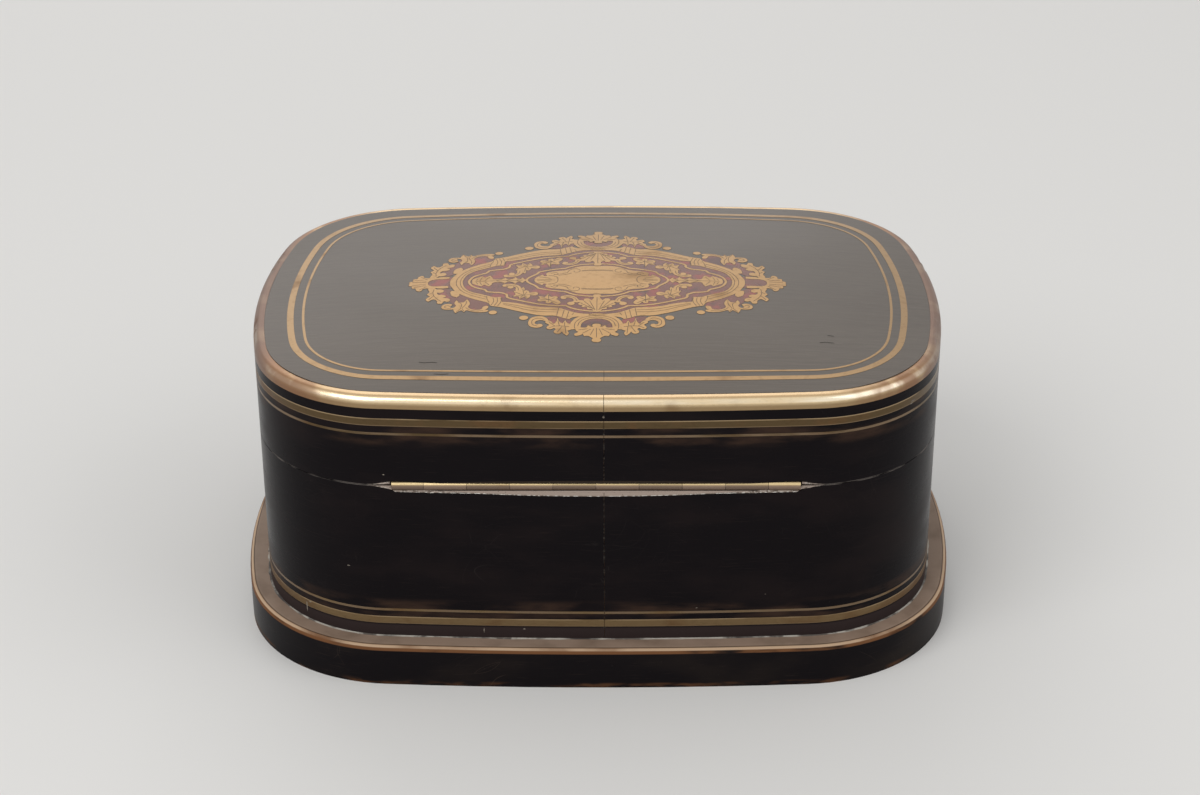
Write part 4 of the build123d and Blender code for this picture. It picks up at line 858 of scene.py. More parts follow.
class CASKET_OT_wood(bpy.types.Operator):
    """Finish the black veneer, the plinth, the carcass and the tray"""
    bl_idname = "casket.wood"
    bl_label = "Wood"
    bl_options = {"REGISTER", "UNDO"}

    def execute(self, context):
        colour = context.scene.casket_colours
        worn = tuple(colour.worn_wood)
        dust = tuple(colour.dust)
        pores = streaks(90, 90, 2600, 0.60, 0.72)
        cloud = streaks(22, 22, 60, 0.42, 0.70)
        joint = both(axis_band("X", BUTT_JOINT_X, 0.15 * MM, 0.2 * MM), streaks(200, 200, 1500, 0.52, 0.64))
        joint = both(joint, at_back())
        seam_wear = both(height_band(SEAM, 0.18 * MM, 0.25 * MM), streaks(90, 90, 500, 0.44, 0.60))
        low_band = height_band(PLINTH_TOP + 2.4 * MM, 2.0 * MM, 1.2 * MM)
        chamfer_dust = (
            (hinge_chamfer(-1), tuple(colour.hinge_dust_and_light), 0.75),
            (both(hinge_chamfer(-1), specks(1100, 0.5)), (0.07, 0.052, 0.042), 0.8),
        )
        black = new_material(
            "ebonised_sides", tuple(colour.side_black), 0.26,
            layers=(
                (cloud, (0.011, 0.0075, 0.008), 0.36),
                (part_of(pores, 0.4), (0.019, 0.013, 0.012), 0.42),
                (part_of(near_strings(), 0.85), (0.050, 0.028, 0.019), 0.4),
                (part_of(low_band, 0.8), (0.040, 0.028, 0.027), 0.5),
                (part_of(seam_wear, 0.6), (0.24, 0.21, 0.19), 0.6),
                # Dark brown on the chamfer over the seam, which faces down: painted shade.
                (hinge_chamfer(1), (0.035, 0.024, 0.018), 0.75),
                *chamfer_dust,
                (part_of(joint, 0.2), dust, 0.8),
                (part_of(scratches(26, 0.004), 0.12), (0.12, 0.10, 0.09), 0.6),
                (part_of(specks(700, 0.09), 0.3), dust, 0.8),
            ),
            bumps=((pores, 0.00001), (streaks(30, 30, 30, 0.3, 0.8), 0.00005)),
            sockets={"Specular IOR Level": 0.05},
        )
        paint(black, "case_veneer", "lid_veneer")
        edge = height_band(PLINTH_TOP - 1.15 * MM, 0.75 * MM, 0.35 * MM)
        edge = both(edge, streaks(45, 45, 200, 0.26, 0.50))
        # A painted highlight along the plinth's rounded top edge.
        plinth_edge_highlight = height_band(PLINTH_TOP - 0.6 * MM, 0.2 * MM, 0.3 * MM)
        plinth_edge_highlight = both(plinth_edge_highlight, streaks(26, 26, 60, 0.30, 0.54))
        foot = both(height_band(0.6 * MM, 0.7 * MM, 1.2 * MM), streaks(60, 60, 300, 0.48, 0.66))
        # Light grey-brown on the plinth's ledge: painted reflection of the light from above, with darker
        # streaks in it.
        ledge_sheen = height_band(PLINTH_TOP + 0.4 * MM, 0.45 * MM, 0.1 * MM)
        plinth = new_material(
            "ebonised_plinth", tuple(colour.side_black), 0.30,
            layers=(
                (cloud, (0.014, 0.010, 0.009), 0.38),
                (part_of(pores, 0.5), (0.028, 0.020, 0.017), 0.45),
                # painted reflection on the ledge, then its darker streaks
                (ledge_sheen, (0.29, 0.210, 0.158), 0.42),
                (part_of(both(ledge_sheen, streaks(70, 70, 70, 0.40, 0.70)), 0.6), (0.160, 0.110, 0.078), 0.5),
                (edge, worn, 0.42),
                # painted highlight along the rounded edge
                (plinth_edge_highlight, (0.50, 0.35, 0.23), 0.4),
                (part_of(foot, 0.5), worn, 0.6),
                (part_of(scratches(22, 0.005), 0.3), (0.14, 0.10, 0.07), 0.6),
                (part_of(specks(600, 0.12), 0.35), dust, 0.8),
            ),
            bumps=((pores, 0.00001), (streaks(26, 26, 26, 0.3, 0.8), 0.00006)),
            sockets={"Specular IOR Level": 0.06},
        )
        paint(plinth, "plinth_moulding")
        grain = streaks(14, 420, 420, 0.42, 0.66)
        bare = new_material(
            "carcass_wood", tuple(colour.carcass), 0.62,
            layers=(
                (grain, (0.12, 0.052, 0.024), 0.7),
                (part_of(specks(500, 0.12), 0.3), (0.3, 0.2, 0.12), 0.7),
                # Dark brown on the chamfer over the seam, which faces down: painted shade.
                (hinge_chamfer(1), (0.04, 0.027, 0.02), 0.75),
                *chamfer_dust,
            ),
            bumps=((grain, 0.00004),),
        )
        paint(bare, "case_wall", "lid_wall", "lid_panel", "base_board", "lining_board")
        figure = streaks(10, 260, 260, 0.40, 0.64)
        polished = new_material(
            "tray_wood", tuple(colour.tray_wood), 0.30,
            layers=((figure, (0.045, 0.014, 0.009), 0.34),),
            bumps=((figure, 0.00002),),
            sockets={"Coat Weight": 0.4, "Coat Roughness": 0.2},
        )
        paint(polished, "tray_floor", "tray_wall", "tray_dividers_cross", "tray_dividers_long")
        return {"FINISHED"}


def brass_finish(name, colour, tarnish, roughness, amount, metallic=1.0, extra=()):
    """Brass with cloudy tarnish, fine rubbing marks and specks."""
    low = 0.62 - amount * 0.3
    return new_material(
        name, colour, roughness, metallic,
        layers=(
            (part_of(streaks(60, 60, 60, low, low + 0.22), 0.7), tarnish, roughness + 0.2, None),
            (part_of(streaks(500, 500, 1500, 0.5, 0.7), 0.35), tuple(0.7 * c for c in colour),
             roughness + 0.12),
            (part_of(specks(900, 0.2), 0.6), tarnish, 0.6, 0.6),
            *extra,
        ),
        bumps=((streaks(300, 300, 900, 0.4, 0.7), 0.00001),),
    )


class CASKET_OT_metal(bpy.types.Operator):
    """Finish the brass and the steel"""
    bl_idname = "casket.metal"
    bl_label = "Metal"
    bl_options = {"REGISTER", "UNDO"}

    def execute(self, context):
        colour = context.scene.casket_colours
        tarnish = tuple(colour.tarnish)
        corners = both(beyond("X", 84 * MM, 112 * MM), streaks(70, 70, 40, 0.30, 0.56))
        # Bands up the rim: shade paints shade along its bottom, gleam paints a highlight across its upper
        # middle and shoulder paints shade along its top.
        shade = height_band(rim_low.z, 1.2 * MM, 1.6 * MM)
        height = rim_high.z - rim_low.z
        gleam = height_band(rim_low.z + 0.72 * height, 0.08 * height, 0.14 * height)
        gleam = both(gleam, streaks(14, 14, 90, 0.32, 0.60))
        shoulder = height_band(rim_high.z, 0.07 * height, 0.06 * height)
        rim = brass_finish(
            "rim_brass", tuple(colour.rim_brass), tarnish, 0.22, 0.25,
            extra=(
                # painted shade along the bottom, a painted highlight, painted shade along the top
                (part_of(shade, 0.75), (0.25, 0.155, 0.072), 0.34),
                (part_of(gleam, 0.8), (0.97, 0.90, 0.74), 0.16),
                (part_of(shoulder, 0.6), (0.42, 0.27, 0.14), 0.3),
                (part_of(corners, 0.85), (0.24, 0.115, 0.058), 0.40, 0.75),
                (part_of(beyond("X", 118 * MM, 130 * MM), 0.8), (0.15, 0.088, 0.066), 0.42, 0.5),
            ),
        )
        paint(rim, "rim_band")
        for names, bare in (
            (("case_line_wide", "case_line_thin"), 1.9),
            (("lid_line_wide", "lid_line_thin"), 1.0),
        ):
            low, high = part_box(names[0])
            streak_mask = streaks(40, 40, 200, 0.34, 0.56)
            # upper paints a highlight along the top edge of the wide string and lower a weaker one along its
            # bottom edge, both broken up in streaks.
            upper = both(height_band(high.z, 0.25 * MM, 0.25 * MM), streak_mask)
            lower = both(height_band(low.z, 0.15 * MM, 0.25 * MM), streak_mask)
            thin = height_band(node_middle(names[1]), 0.5 * MM, 0.1 * MM)
            string = brass_finish(
                names[0].replace("line_wide", "string_brass"),
                tuple(bare * c for c in colour.string_brass), tarnish, 0.34, 0.5,
                extra=(
                    # painted highlights along the edges of the wide string
                    (upper, (0.40, 0.29, 0.17), 0.34),
                    (part_of(lower, 0.7), (0.28, 0.20, 0.12), 0.34),
                    (both(thin, streaks(50, 50, 200, 0.36, 0.60)), (0.22, 0.155, 0.10), 0.34),
                ),
            )
            paint(string, *names)
        paint(brass_finish("escutcheon_brass", tuple(colour.rim_brass), tarnish, 0.28, 0.3),
              "escutcheon", "escutcheon_pins")
        # Painted light on the hinge barrel: crest is a painted highlight along its top and belly is painted
        # shade along its lower part.
        crest = height_band(SEAM + 1.3 * MM, 0.2 * MM, 0.35 * MM)
        belly = height_band(SEAM - 0.3 * MM, 0.6 * MM, 0.6 * MM)
        # The lid's leaf gets its own copy of the finish at 0.78 of the brightness: painted shade.
        for name, shade, parts in (
            ("hinge_brass_case", 1.0, ("hinge_leaf_case", "hinge_screws_case", "hinge_screws_lid")),
            ("hinge_brass_lid", 0.78, ("hinge_leaf_lid",)),
        ):
            barrel = brass_finish(
                name, tuple(shade * c for c in colour.hinge_brass), tarnish, 0.30, 0.35,
                extra=(
                    (part_of(crest, 0.8), tuple(shade * c for c in (0.72, 0.56, 0.30)), 0.26),
                    (part_of(belly, 0.9), tuple(shade * c for c in (0.25, 0.180, 0.140)), 0.42),
                ),
            )
            paint(barrel, *parts)
        paint(brass_finish("lock_brass", tuple(colour.rim_brass), tarnish, 0.3, 0.2),
              "lock_plate", "lock_box", "link_plate", "lock_bolt", "lock_screws", "link_screws")
        steel = new_material(
            "worn_steel", tuple(colour.steel), 0.34, 1.0,
            layers=((streaks(80, 80, 80, 0.5, 0.68), (0.12, 0.09, 0.07), 0.55, 0.8),
                    (part_of(specks(900, 0.25), 0.7), (0.13, 0.06, 0.03), 0.7, 0.4)),
            bumps=((streaks(400, 400, 400, 0.4, 0.7), 0.00002),),
        )
        paint(steel, "hinge_pin", "drill_pin", "lock_spring", "base_screws")
        key = new_material(
            "key_steel", tuple(1.2 * c for c in colour.steel), 0.28, 1.0,
            layers=((streaks(120, 120, 120, 0.52, 0.66), (0.15, 0.11, 0.08), 0.5, 0.8),
                    (part_of(specks(900, 0.2), 0.7), (0.10, 0.05, 0.03), 0.7, 0.4)),
            bumps=((streaks(500, 500, 500, 0.4, 0.7), 0.00001),),
        )
        paint(key, "key")
        return {"FINISHED"}


class CASKET_OT_top(bpy.types.Operator):
    """Lay the black top veneer and its two brass lines"""
    bl_idname = "casket.top"
    bl_label = "Top veneer and lines"
    bl_options = {"REGISTER", "UNDO"}

    def execute(self, context):
        colour = context.scene.casket_colours
        size = context.scene.casket_sizes
        grain = streaks(16, 620, 620, 0.40, 0.68)
        fine = streaks(60, 2400, 2400, 0.52, 0.66)
        cloud = streaks(14, 26, 26, 0.36, 0.66)
        # The grey ground and its lighter clouds and fine streaks are partly fading and partly a painted
        # reflection of the bright surroundings.
        top = new_material(
            "ebonised_top", tuple(colour.top_black), 0.36,
            layers=(
                (cloud, (0.088, 0.076, 0.064), 0.44),
                (part_of(grain, 0.35), (0.046, 0.038, 0.032), 0.36),
                (part_of(fine, 0.5), (0.120, 0.104, 0.088), 0.5),
                (part_of(scratches(30, 0.006), 0.3), (0.2, 0.17, 0.14), 0.6),
                (part_of(specks(650, 0.12), 0.5), (0.30, 0.27, 0.23), 0.8),
            ),
            bumps=((grain, 0.000006), (fine, 0.000006), (streaks(24, 24, 24, 0.3, 0.8), 0.00006)),
            sockets={"Specular IOR Level": 0.42, "Specular Tint": (1.0, 0.82, 0.68, 1.0)},
        )
        veneer = plain_sheet(RIM_WIDTH)
        on_dome(veneer, -0.8 * MM, -0.02 * MM)
        finish_piece(veneer, "top_veneer", top, "lid", ("lid_top_veneer",))
        line = brass_finish("top_line_brass", tuple(colour.top_line_brass), tuple(colour.tarnish), 0.34, 0.3)
        for name, node, inset, width in (
            ("top_line_wide_inlay", "top_line_wide", 14.4, 2.6),
            ("top_line_thin_inlay", "top_line_thin", 19.4, 1.0),
        ):
            loops = [outline((inset - width / 2) * MM), outline((inset + width / 2) * MM)]
            strip = curve_mesh(loops)
            on_dome(strip, -size.plate, size.brass_lift)
            finish_piece(strip, name, line, "lid", (node,))
        dark = new_material("top_joints", (0.015, 0.011, 0.009), 0.7,
                            layers=((streaks(300, 300, 300, 0.5, 0.7), (0.03, 0.02, 0.015), 0.8),))
        marks = [
            [(-3, 73.2), (-3, 80.2)],
            [(60, 74.6), (57.5, 74.9), (54.6, 74.7)],
            [(66, 66), (64, 66.4), (61, 66.2), (59.4, 66.6)],
            [(-84.6, 50), (-87, 49.6), (-90, 50)],
            [(-88, 44), (-90.4, 44.3)],
        ]
        cracks = curve_mesh(in_metres(marks), closed=False, section=(0.16 * MM, 0.05 * MM))
        strips_on_dome(cracks, size.brass_lift)
        finish_piece(cracks, "top_cracks", dark, "lid")
        return {"FINISHED"}


class CASKET_OT_marquetry(bpy.types.Operator):
    """Inlay the brass and shell panel of the lid"""
    bl_idname = "casket.marquetry"
    bl_label = "Marquetry"
    bl_options = {"REGISTER", "UNDO"}

    def execute(self, context):
        colour = context.scene.casket_colours
        size = context.scene.casket_sizes
        tarnish = tuple(0.5 * (a + b) for a, b in zip(colour.tarnish, colour.panel_brass))
        brass = brass_finish("panel_brass", tuple(colour.panel_brass), tarnish, 0.34, 0.35)
        shell = new_material(
            "red_shell", tuple(colour.shell), 0.26,
            layers=(
                (streaks(120, 120, 120, 0.50, 0.64), tuple(colour.shell_light), 0.32),
                (streaks(75, 95, 90, 0.54, 0.70), (0.090, 0.040, 0.034), 0.32),
                (part_of(specks(420, 0.3), 0.5), (0.05, 0.03, 0.03), 0.3),
            ),
            bumps=((streaks(40, 40, 40, 0.3, 0.8), 0.00004),),
            sockets={"Specular IOR Level": 0.26, "Specular Tint": (1.0, 0.80, 0.72, 1.0)},
        )
        dark = new_material(
            "engraving_wax", tuple(colour.engraving), 0.6,
            layers=((streaks(200, 200, 200, 0.45, 0.7), (0.09, 0.055, 0.03), 0.7),),
        )
        ground = flat_pieces(SHELL_PIECES)
        on_dome(ground, -size.plate, size.shell_lift)
        finish_piece(ground, "marquetry_ground", shell, "lid", ("marquetry_shell",))
        strap = in_metres([whole_loop(BAND_OUTER), whole_loop(BAND_INNER)])
        ornament = ("marquetry_medallion", "marquetry_rings", "marquetry_leaves")
        for name, shapes, replaced in (
            ("strap", lambda grow: curve_mesh(strap, grow=grow), ("marquetry_band",)),
            ("ornament", lambda grow: flat_pieces(BRASS_PIECES, grow), ornament),
        ):
            kerf = shapes(size.kerf)
            on_dome(kerf, -size.plate, size.kerf_lift)
            finish_piece(kerf, f"marquetry_{name}_kerf", dark, "lid")
            plate = shapes(0.0)
            on_dome(plate, -size.plate, size.brass_lift)
            finish_piece(plate, f"marquetry_{name}_inlay", brass, "lid", replaced)
        wire_width, wire_height = 1.0 * MM, 0.1 * MM
        for name, quarter, replaced in (
            ("thread", THREAD, "marquetry_thread"),
            ("medallion_line", MEDALLION_LINE, "marquetry_medallion_line"),
        ):
            path = in_metres([whole_loop(quarter)])
            kerf = curve_mesh(path, section=(wire_width + 2 * size.kerf, wire_height))
            strips_on_dome(kerf, size.kerf_lift - wire_height / 2)
            finish_piece(kerf, f"marquetry_{name}_kerf", dark, "lid")
            wire = curve_mesh(path, section=(wire_width, wire_height))
            strips_on_dome(wire, size.brass_lift - wire_height / 2)
            finish_piece(wire, f"{name}_inlay", brass, "lid", (replaced,))
        paths = [line for path in ENGRAVED for line in four_ways(path)]
        cut = (size.engraved_width, 0.03 * MM)
        lines = curve_mesh(in_metres(paths), closed=False, section=cut, resolution=3)
        strips_on_dome(lines, size.brass_lift)
        finish_piece(lines, "marquetry_engraving", dark, "lid")
        return {"FINISHED"}


def button_lattice(x, y, pitch_x, pitch_y):
    """Distances from the two sets of lines through the buttons, from 0 on a line to 1 between lines."""
    first = abs(math.sin(math.pi * (x / pitch_x + y / pitch_y)))
    second = abs(math.sin(math.pi * (x / pitch_x - y / pitch_y)))
    return min(first, second), max(first, second)


def satin_finish(name, colour):
    """Smooth woven silk."""
    thread = streaks(2600, 2600, 500, 0.40, 0.62)
    return new_material(
        name, colour, 0.36,
        layers=((thread, tuple(0.72 * c for c in colour), 0.44),
                (streaks(30, 30, 30, 0.45, 0.75), tuple(1.25 * c for c in colour), 0.34)),
        bumps=((thread, 0.000012),),
        sockets={"Sheen Weight": 0.35, "Sheen Roughness": 0.35, "Specular IOR Level": 0.6},
    )


def velvet_finish(name, colour):
    """Short dense pile."""
    pile = streaks(1500, 1500, 1500, 0.35, 0.65)
    return new_material(
        name, colour, 0.92,
        layers=((pile, tuple(0.55 * c for c in colour), 0.95),
                (streaks(45, 45, 45, 0.42, 0.78), tuple(1.25 * c for c in colour), 0.9)),
        bumps=((pile, 0.00008),),
        sockets={"Sheen Weight": 0.5, "Sheen Roughness": 0.5, "Specular IOR Level": 0.10},
    )


class CASKET_OT_linings(bpy.types.Operator):
    """Line the case and the lid with gathered satin and lay the floor pad"""
    bl_idname = "casket.linings"
    bl_label = "Satin linings and floor pad"
    bl_options = {"REGISTER", "UNDO"}

    def execute(self, context):
        colour = context.scene.casket_colours
        satin = satin_finish("satin", tuple(colour.satin))
        fold_depth, droop_depth = 0.55 * MM, 0.25 * MM
        for name, body, pitch in (("case_lining", "case", 7 * MM), ("lid_lining", "lid", 6 * MM)):
            low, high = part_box(name)
            outer = HALF_LENGTH - high.x + 0.05 * MM
            inner = outer + 2.85 * MM
            bottom, top = low.z + 0.05 * MM, high.z - 0.05 * MM

            def profile(share, total, outer=outer, inner=inner, bottom=bottom, top=top, pitch=pitch):
                turn = math.tau * share * round(total / pitch)
                wander = noise.noise(Vector((share * 40, 0, bottom * 50)))
                points = [(outer, bottom), (outer, top - 0.8 * MM), (outer + 0.5 * MM, top)]
                for step in range(9):
                    down = step / 8
                    depth = math.sin(math.pi * down)
                    fold = fold_depth * math.sin(turn + wander * 3 + down * 0.8 * wander)
                    droop = droop_depth * math.sin(2 * turn + 5 * wander)
                    inset = inner - 0.75 * MM - fold_depth * (1 - depth)
                    inset += (fold + droop) * (0.45 + 0.35 * depth)
                    points.append((inset, top - 0.5 * MM - down * (top - bottom - 1.1 * MM)))
                points.append((outer + 0.7 * MM, bottom))
                return points

            gathered = ring_sweep(profile, 72)
            piece = finish_piece(gathered, f"{name}_satin", satin, body, (name,), sharp=80)
        low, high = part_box("floor_pad")
        inset = HALF_LENGTH - high.x + 0.1 * MM
        edge_width, edge_drop, pitch, dimple = 7 * MM, 2.6 * MM, 26 * MM, 0.7 * MM
        pad = plain_sheet(inset)
        slice_grid(pad, 2.2 * MM)

        def crown(x, y):
            into = min(max(inset_of(x, y) - inset, 0) / edge_width, 1)
            near, _ = button_lattice(x, y, pitch, pitch)
            return high.z - 0.1 * MM - edge_drop * (1 - into) ** 2 - dimple * into * (1 - near ** 0.5)

        slab(pad, lambda x, y: low.z + 0.1 * MM, crown)
        piece = finish_piece(pad, "floor_pad_satin", satin, "case", ("floor_pad",), sharp=80)
        return {"FINISHED"}


class CASKET_OT_tufted_pad(bpy.types.Operator):
    """Tuft the satin pad of the lid and sew on its buttons"""
    bl_idname = "casket.tufted_pad"
    bl_label = "Tufted lid pad"
    bl_options = {"REGISTER", "UNDO"}

    def execute(self, context):
        colour = context.scene.casket_colours
        size = context.scene.casket_sizes
        satin = satin_finish("tufted_satin", tuple(colour.satin))
        low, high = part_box("lid_pad")
        inset = HALF_LENGTH - high.x - 1.2 * MM
        buttons = solid_boxes("lid_pad_buttons")
        reach_x = max(b[1].x for b in buttons)
        reach_y = max(b[1].y for b in buttons)
        edge_width, edge_rise, plain_border = 6 * MM, 2.6 * MM, 9 * MM

        def pillows(x, y):
            near, far = button_lattice(x, y, 38 * MM, 34 * MM)
            line = 1 - near ** 0.6
            depth = line * (0.42 + 0.58 * (1 - far))
            beyond_x = min(max((abs(x) - reach_x) / plain_border, 0), 1)
            beyond_y = min(max((abs(y) - reach_y) / plain_border, 0), 1)
            depth *= 1 - 0.55 * max(beyond_x, beyond_y)
            into = min(max(inset_of(x, y) - inset, 0) / edge_width, 1)
            drawn_in = size.tuft_depth * depth * min(1, into + 0.35)
            return low.z + 0.1 * MM + drawn_in + edge_rise * (1 - into) ** 2

        pad = plain_sheet(inset)
        slice_grid(pad, 1.6 * MM)
        lift = dome_height(0, 0) - high.z + 0.1 * MM
        slab(pad, lambda x, y: dome_height(x, y) - lift, pillows)
        piece = finish_piece(pad, "lid_pad_satin", satin, "lid", ("lid_pad",), sharp=80)
        bm = bmesh.new()
        for corner, opposite in buttons:
            middle, half = (corner + opposite) / 2, (opposite - corner) / 2
            shape = Matrix.Diagonal((half.x - 0.1 * MM, half.y - 0.1 * MM, half.z - 0.05 * MM, 1))
            bmesh.ops.create_uvsphere(
                bm, u_segments=16, v_segments=8, radius=1, matrix=Matrix.Translation(middle) @ shape
            )
        covered = finish_piece(bm, "pad_buttons", satin, "lid", ("lid_pad_buttons",), sharp=80)
        return {"FINISHED"}


class CASKET_OT_tray_velvet(bpy.types.Operator):
    """Lay the tray's velvet pads and its ring rolls"""
    bl_idname = "casket.tray_velvet"
    bl_label = "Tray velvet"
    bl_options = {"REGISTER", "UNDO"}

    def execute(self, context):
        colour = context.scene.casket_colours
        velvet = velvet_finish("velvet", tuple(colour.velvet))
        low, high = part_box("tray_pads")
        pads = node_copy("tray_pads")
        bmesh.ops.dissolve_limit(pads, angle_limit=math.radians(2), verts=pads.verts, edges=pads.edges)
        upper = [e for e in pads.edges if all(v.co.z > high.z - 0.1 * MM for v in e.verts)
                 and e.calc_face_angle(0) > 1]
        round_edges(pads, upper, 0.9 * MM, 3)
        bmesh.ops.triangulate(pads, faces=[f for f in pads.faces if len(f.verts) > 4])
        piece = finish_piece(pads, "tray_pads_velvet", velvet, "tray", ("tray_pads",), sharp=50)
        rolls = bmesh.new()
        stitch_pitch = 7 * MM
        for corner, opposite in solid_boxes("ring_rolls"):
            middle, half = (corner + opposite) / 2, (opposite - corner) / 2
            roll = bmesh.new()
            radius = half.y - 0.05 * MM
            bmesh.ops.create_cone(
                roll,
                cap_ends=True,
                segments=40,
                radius1=radius,
                radius2=radius,
                depth=2 * half.x - 0.1 * MM,
                matrix=Matrix.Translation(middle) @ Matrix.Rotation(math.pi / 2, 4, "Y"),
            )
            rims = [e for e in roll.edges if any(len(f.verts) > 4 for f in e.link_faces)]
            round_edges(roll, rims, 2.6 * MM, 4)
            for place in range(-5, 6):
                cut_across(roll, (place * stitch_pitch, 0, 0), (1, 0, 0))
            for vert in roll.verts:
                spoke = Vector((0, vert.co.y - middle.y, vert.co.z - middle.z))
                dent = 0.5 + 0.5 * noise.noise(vert.co * 90)
                vert.co -= spoke * 0.035 * dent
            mesh = bpy.data.meshes.new("roll")
            roll.to_mesh(mesh)
            roll.free()
            rolls.from_mesh(mesh)
            bpy.data.meshes.remove(mesh)
        piece = finish_piece(rolls, "ring_rolls_velvet", velvet, "tray", ("ring_rolls",), sharp=60)
        return {"FINISHED"}


class CASKET_OT_ribbons(bpy.types.Operator):
    """Fold the two ribbon tabs that lift the tray"""
    bl_idname = "casket.ribbons"
    bl_label = "Ribbon tabs"
    bl_options = {"REGISTER", "UNDO"}

    def execute(self, context):
        colour = context.scene.casket_colours
        ribbon = satin_finish("ribbon", tuple(0.8 * c for c in colour.satin))
        for name, (corner, opposite) in zip(("left", "right"), solid_boxes("tray_tabs")):
            bend = (opposite.x - corner.x) / 2 - 0.25 * MM
            middle_x = (corner.x + opposite.x) / 2
            crest = opposite.z - bend - 0.3 * MM
            path = [(middle_x - bend, corner.z), (middle_x - bend, (corner.z + crest) / 2)]
            for step in range(9):
                turn = math.pi * step / 8
                path.append((middle_x - bend * math.cos(turn), crest + bend * math.sin(turn)))
            path += [(middle_x + bend, (corner.z + crest) / 2), (middle_x + bend, corner.z)]
            bm = bmesh.new()
            rows = []
            for x, z in path:
                rows.append([
                    bm.verts.new((x, corner.y + (opposite.y - corner.y) * step / 6, z)) for step in range(7)
                ])
            for row, after in zip(rows, rows[1:]):
                for place in range(6):
                    bm.faces.new((row[place], row[place + 1], after[place + 1], after[place]))
            bmesh.ops.recalc_face_normals(bm, faces=bm.faces)
            bmesh.ops.solidify(bm, geom=bm.faces[:], thickness=0.25 * MM)
            bmesh.ops.recalc_face_normals(bm, faces=bm.faces)
            length = sum(math.dist(a, b) for a, b in zip(path, path[1:]))
            tab = finish_piece(bm, f"ribbon_tab_{name}", ribbon, "tray", ("tray_tabs",), sharp=60)
        return {"FINISHED"}


def back_patch(bm, points, lift=0.03 * MM):
    """A small flat face just off the back of the casket, from its X and Z places."""
    face = bm.faces.new([bm.verts.new((x, outer_y(x) + lift, z)) for x, z in points])
    face.normal_update()
    if face.normal.y < 0:
        face.normal_flip()


def lens_points(x, z, width, height):
    """A thin scratch, pointed at both ends of its longer side, from places in millimetres."""
    across, up = width / 2, height / 2
    slim = 0.3
    if width > height:
        half = ((-across, 0), (-slim * across, -up), (slim * across, -up))
    else:
        half = ((0, -up), (across, -slim * up), (across, slim * up))
    corners = half + tuple((-dx, -dz) for dx, dz in half)
    return [((x + dx) * MM, (z + dz) * MM) for dx, dz in corners]


def hinge_cut(x):
    """How far from the seam the back begins at a given X, clear of the chamfer of the hinge."""
    return max((outer_y(x) - HINGE_Y) * CHAMFER_FALL, 0) + 0.1 * MM


def hinge_groove(x):
    """Half height of the pale strip in the groove along the hinge, dust with painted light of an
    upward-facing chamfer, which runs out in a point past each end.
    """
    if abs(x) < HINGE_HALF_LENGTH:
        return (2.3 + 0.12 * noise.noise(Vector((x * 300, 1, 0)))) * MM
    left = max(1 - (abs(x) - HINGE_HALF_LENGTH) / (9.5 * MM), 0)
    return (1.5 + 0.4 * noise.noise(Vector((x * 500, 4, 0)))) * MM * left ** 1.2


class CASKET_OT_plinth_dust(bpy.types.Operator):
    """Lay the dust in the corner along the plinth"""
    bl_idname = "casket.plinth_dust"
    bl_label = "Plinth dust"
    bl_options = {"REGISTER", "UNDO"}

    def execute(self, context):
        colour = context.scene.casket_colours
        dust = new_material(
            "old_dust", tuple(colour.dust), 0.9,
            layers=((streaks(160, 160, 160, 0.46, 0.60), (0.10, 0.085, 0.072), 0.85),
                    (streaks(50, 50, 50, 0.52, 0.66), (0.035, 0.028, 0.024), 0.7)),
            bumps=((streaks(900, 900, 900, 0.4, 0.6), 0.00006),),
        )

        def heap(share, total):
            width = (0.75 + 0.55 * noise.noise(Vector((share * 60, 3, 0)))
                     + 0.35 * noise.noise(Vector((share * 260, 9, 0)))) * MM
            return [(-0.02 * MM, PLINTH_TOP - 0.02 * MM), (-0.02 * MM, PLINTH_TOP + 0.3 * width),
                    (-0.5 * width, PLINTH_TOP + 0.12 * width), (-width, PLINTH_TOP - 0.02 * MM)]

        finish_piece(ring_sweep(heap, 40), "plinth_dust", dust, "case", sharp=80)
        return {"FINISHED"}


class CASKET_OT_scratches(bpy.types.Operator):
    """Scratch the back of the case and of the lid"""
    bl_idname = "casket.scratches"
    bl_label = "Scratches"
    bl_options = {"REGISTER", "UNDO"}

    def execute(self, context):
        pale = new_material(
            "pale_scratch", (0.30, 0.26, 0.21), 0.7,
            layers=((streaks(500, 500, 500, 0.45, 0.6), (0.10, 0.08, 0.065), 0.7),),
        )
        marks = {
            "case": [
                (112.3, 22.4, 0.3, 6.4), (110.9, 24.9, 1.7, 0.35), (43, 20.4, 0.4, 2.6),
                (27.6, 21.2, 1.0, 0.4), (94, 46.6, 1.4, 0.25), (-64, 36, 0.5, 0.3), (-38, 30.5, 0.9, 0.2),
            ],
            "lid": [
                (-118.5, 108.4, 2.2, 0.7), (-117.6, 107.6, 1.2, 0.5), (78.8, 87.2, 0.9, 0.4),
                (-2.9, 112.4, 0.7, 1.0),
            ],
        }
        for body, spots in marks.items():
            bm = bmesh.new()
            for x, z, width, height in spots:
                back_patch(bm, lens_points(x, z, width, height))
            finish_piece(bm, f"{body}_scratches", pale, body)
        return {"FINISHED"}


